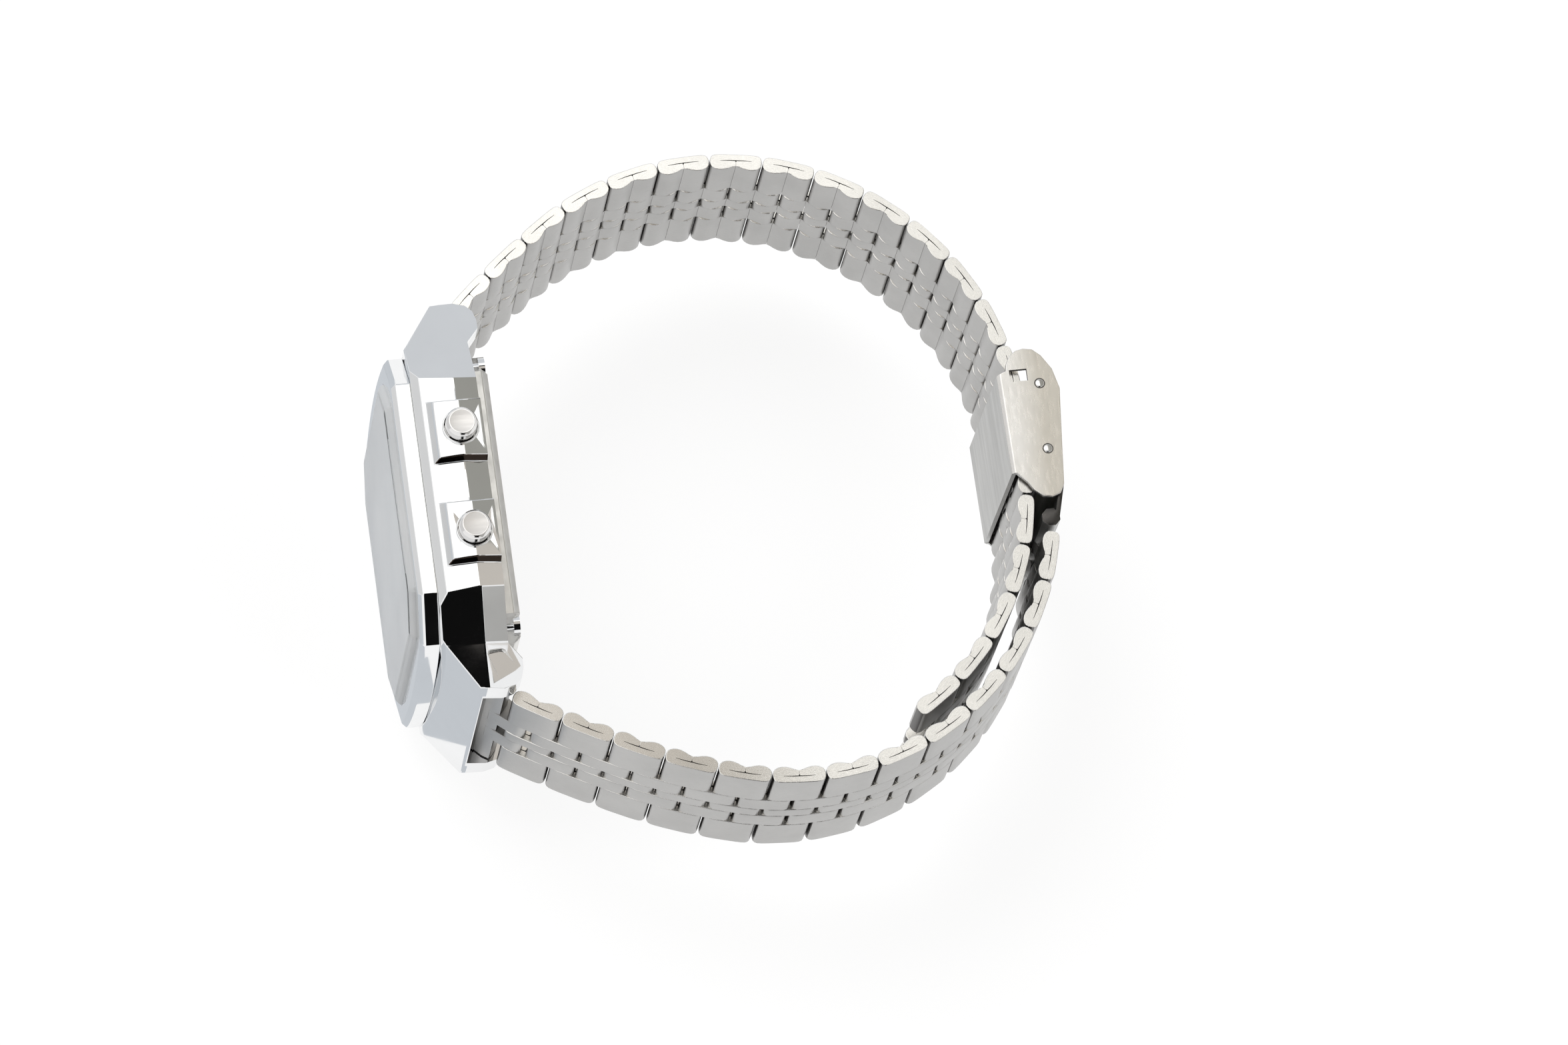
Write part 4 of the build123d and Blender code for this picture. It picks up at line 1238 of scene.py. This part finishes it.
def end_piece(node, angle, side):
    made = [fold(sleeve, -9.0, 9.0, angle, side)]
    for low, high in ((0.93, 3.54), (-3.54, -0.93)):
        made.append(fold(tongue, low, high, angle, side))
    whole = joined(node + "_folded", made, body_of_node(node))
    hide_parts(node)


end_piece("upper_end_piece", upper_end_angle, 1)
end_piece("lower_end_piece", lower_end_angle, -1)

# %% [markdown]
# ## Clasp
# The clasp is pressed from sheet: two side walls on an inner plate, and a cover that folds over
# it. Both start from their solids. The walls' rims are rounded, but the edges at the adjusting
# holes and at the pins stay crisp. The holes' walls and the cover's cut sides lie in shade, so
# they get the painted shade of the gaps, a nearly black steel colour.

# %% Clasp body
clasp = copy_of("clasp_body", "clasp_shell")
hole_spot = (50.49, 7.88)
hinge_spot = (52.4, 6.9)
catch_spot = (52.2, 0.28)


def near(middle, spot, across, along):
    return abs(middle.x - spot[0]) < across and abs(middle.y - spot[1]) < along


def wall_rim(middle, length, turn):
    at_pin = any(math.hypot(middle.x - x, middle.y - y) < 0.6 for x, y in (hinge_spot, catch_spot))
    on_rim = abs(middle.z) > 9.6 and middle.x > 48.7
    return turn > 40 and on_rim and not near(middle, hole_spot, 0.95, 0.7) and not at_pin


# Faces near the adjusting hole get painted shade, a nearly black steel (number 2).
def clasp_material(centre, normal):
    if abs(normal.z) >= 0.5:
        return 0
    return 2 if near(centre, hole_spot, 0.9, 0.65) else 1


round_edges(clasp, 0.12, wall_rim)
finish_faces(clasp, (wall_satin_painted_light, plate_satin, gap_painted_shade), clasp_material)
smooth(clasp, 35)
evened(clasp)

# %% Clasp cover
clasp_lid = copy_of("clasp_cover", "clasp_lid")
round_edges(clasp_lid, 0.06, lambda m, length, turn: turn > 30 and length > 0.3)
# The cover's cut sides get painted shade, a nearly black steel.
finish_faces(clasp_lid, (plate_satin, gap_painted_shade), lambda centre, normal: 1 if abs(normal.z) > 0.7 else 0)
smooth(clasp_lid, 35)

# %% [markdown]
# ## Rivets
# Two round pins hold the clasp together, and their domed heads show in the walls with a fine
# dark ring of shade round each. A ring of shade could be left to the light, but it is thinner
# than a pixel, so a thin dark torus makes sure of it.


# %% Rivets
def shade_ring(spot, radius, side):
    only(None)
    bpy.ops.mesh.primitive_torus_add(major_radius=(radius + 0.02) * MM, minor_radius=0.045 * MM,
                                     major_segments=48, minor_segments=8,
                                     location=Vector((*spot, side * ring_z)) * MM)
    made = bpy.context.object
    bpy.ops.object.transform_apply(location=True, rotation=True, scale=True)
    bpy.ops.object.shade_smooth()
    finish_faces(made, (gap_painted_shade,))
    return made


def rivet(node, name, spot, radius):
    shaft = turned(name, radius, -head_z, head_z, spot, 48)
    edit(shaft, "EDGE")
    pick_edges(shaft, lambda m, length, turn: turn > 45)
    bpy.ops.mesh.bevel(offset=0.12 * MM, segments=3, profile=0.5)
    done()
    finish_faces(shaft, (cap_side,))
    smooth(shaft, 30)
    pieces = [shaft] + [shade_ring(spot, radius, side) for side in (-1, 1)]
    whole = joined(name, pieces, "clasp")
    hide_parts(node)


head_z = 9.74
ring_z = 9.7
rivet("hinge_pin", "hinge_rivet", hinge_spot, 0.46)
rivet("catch_pin", "catch_rivet", catch_spot, 0.46)

# %% [markdown]
# ## Everything inside
# The parts that the case hides keep their solids and get their own surfaces, so that the watch
# can also be shown taken apart.

# %% Inner finishes
finishes = {
    "crystal_gasket": rubber, "back_gasket": rubber, "contact_strips": rubber, "dial_plate": dial_black,
    "lcd_panel": lcd_film, "backlight_panel": light_sheet, "module_frame": frame_plastic,
    "circuit_board": varnish, "chip_cover": chip_resin, "quartz_can": spring_steel,
    "battery": plate_satin, "battery_clip": spring_steel, "battery_contact": spring_steel,
    "buzzer_contact": spring_steel, "piezo_buzzer": brass, "spring_bars": spring_steel,
    "cover_bar": spring_steel, "lock_plate": plate_satin,
}
for node, material in finishes.items():
    nodes[node].data.materials.clear()
    nodes[node].data.materials.append(material)
bare = [name for name, piece in nodes.items() if not piece.hide_render and name not in finishes]
print("solids without a finish:", bare)
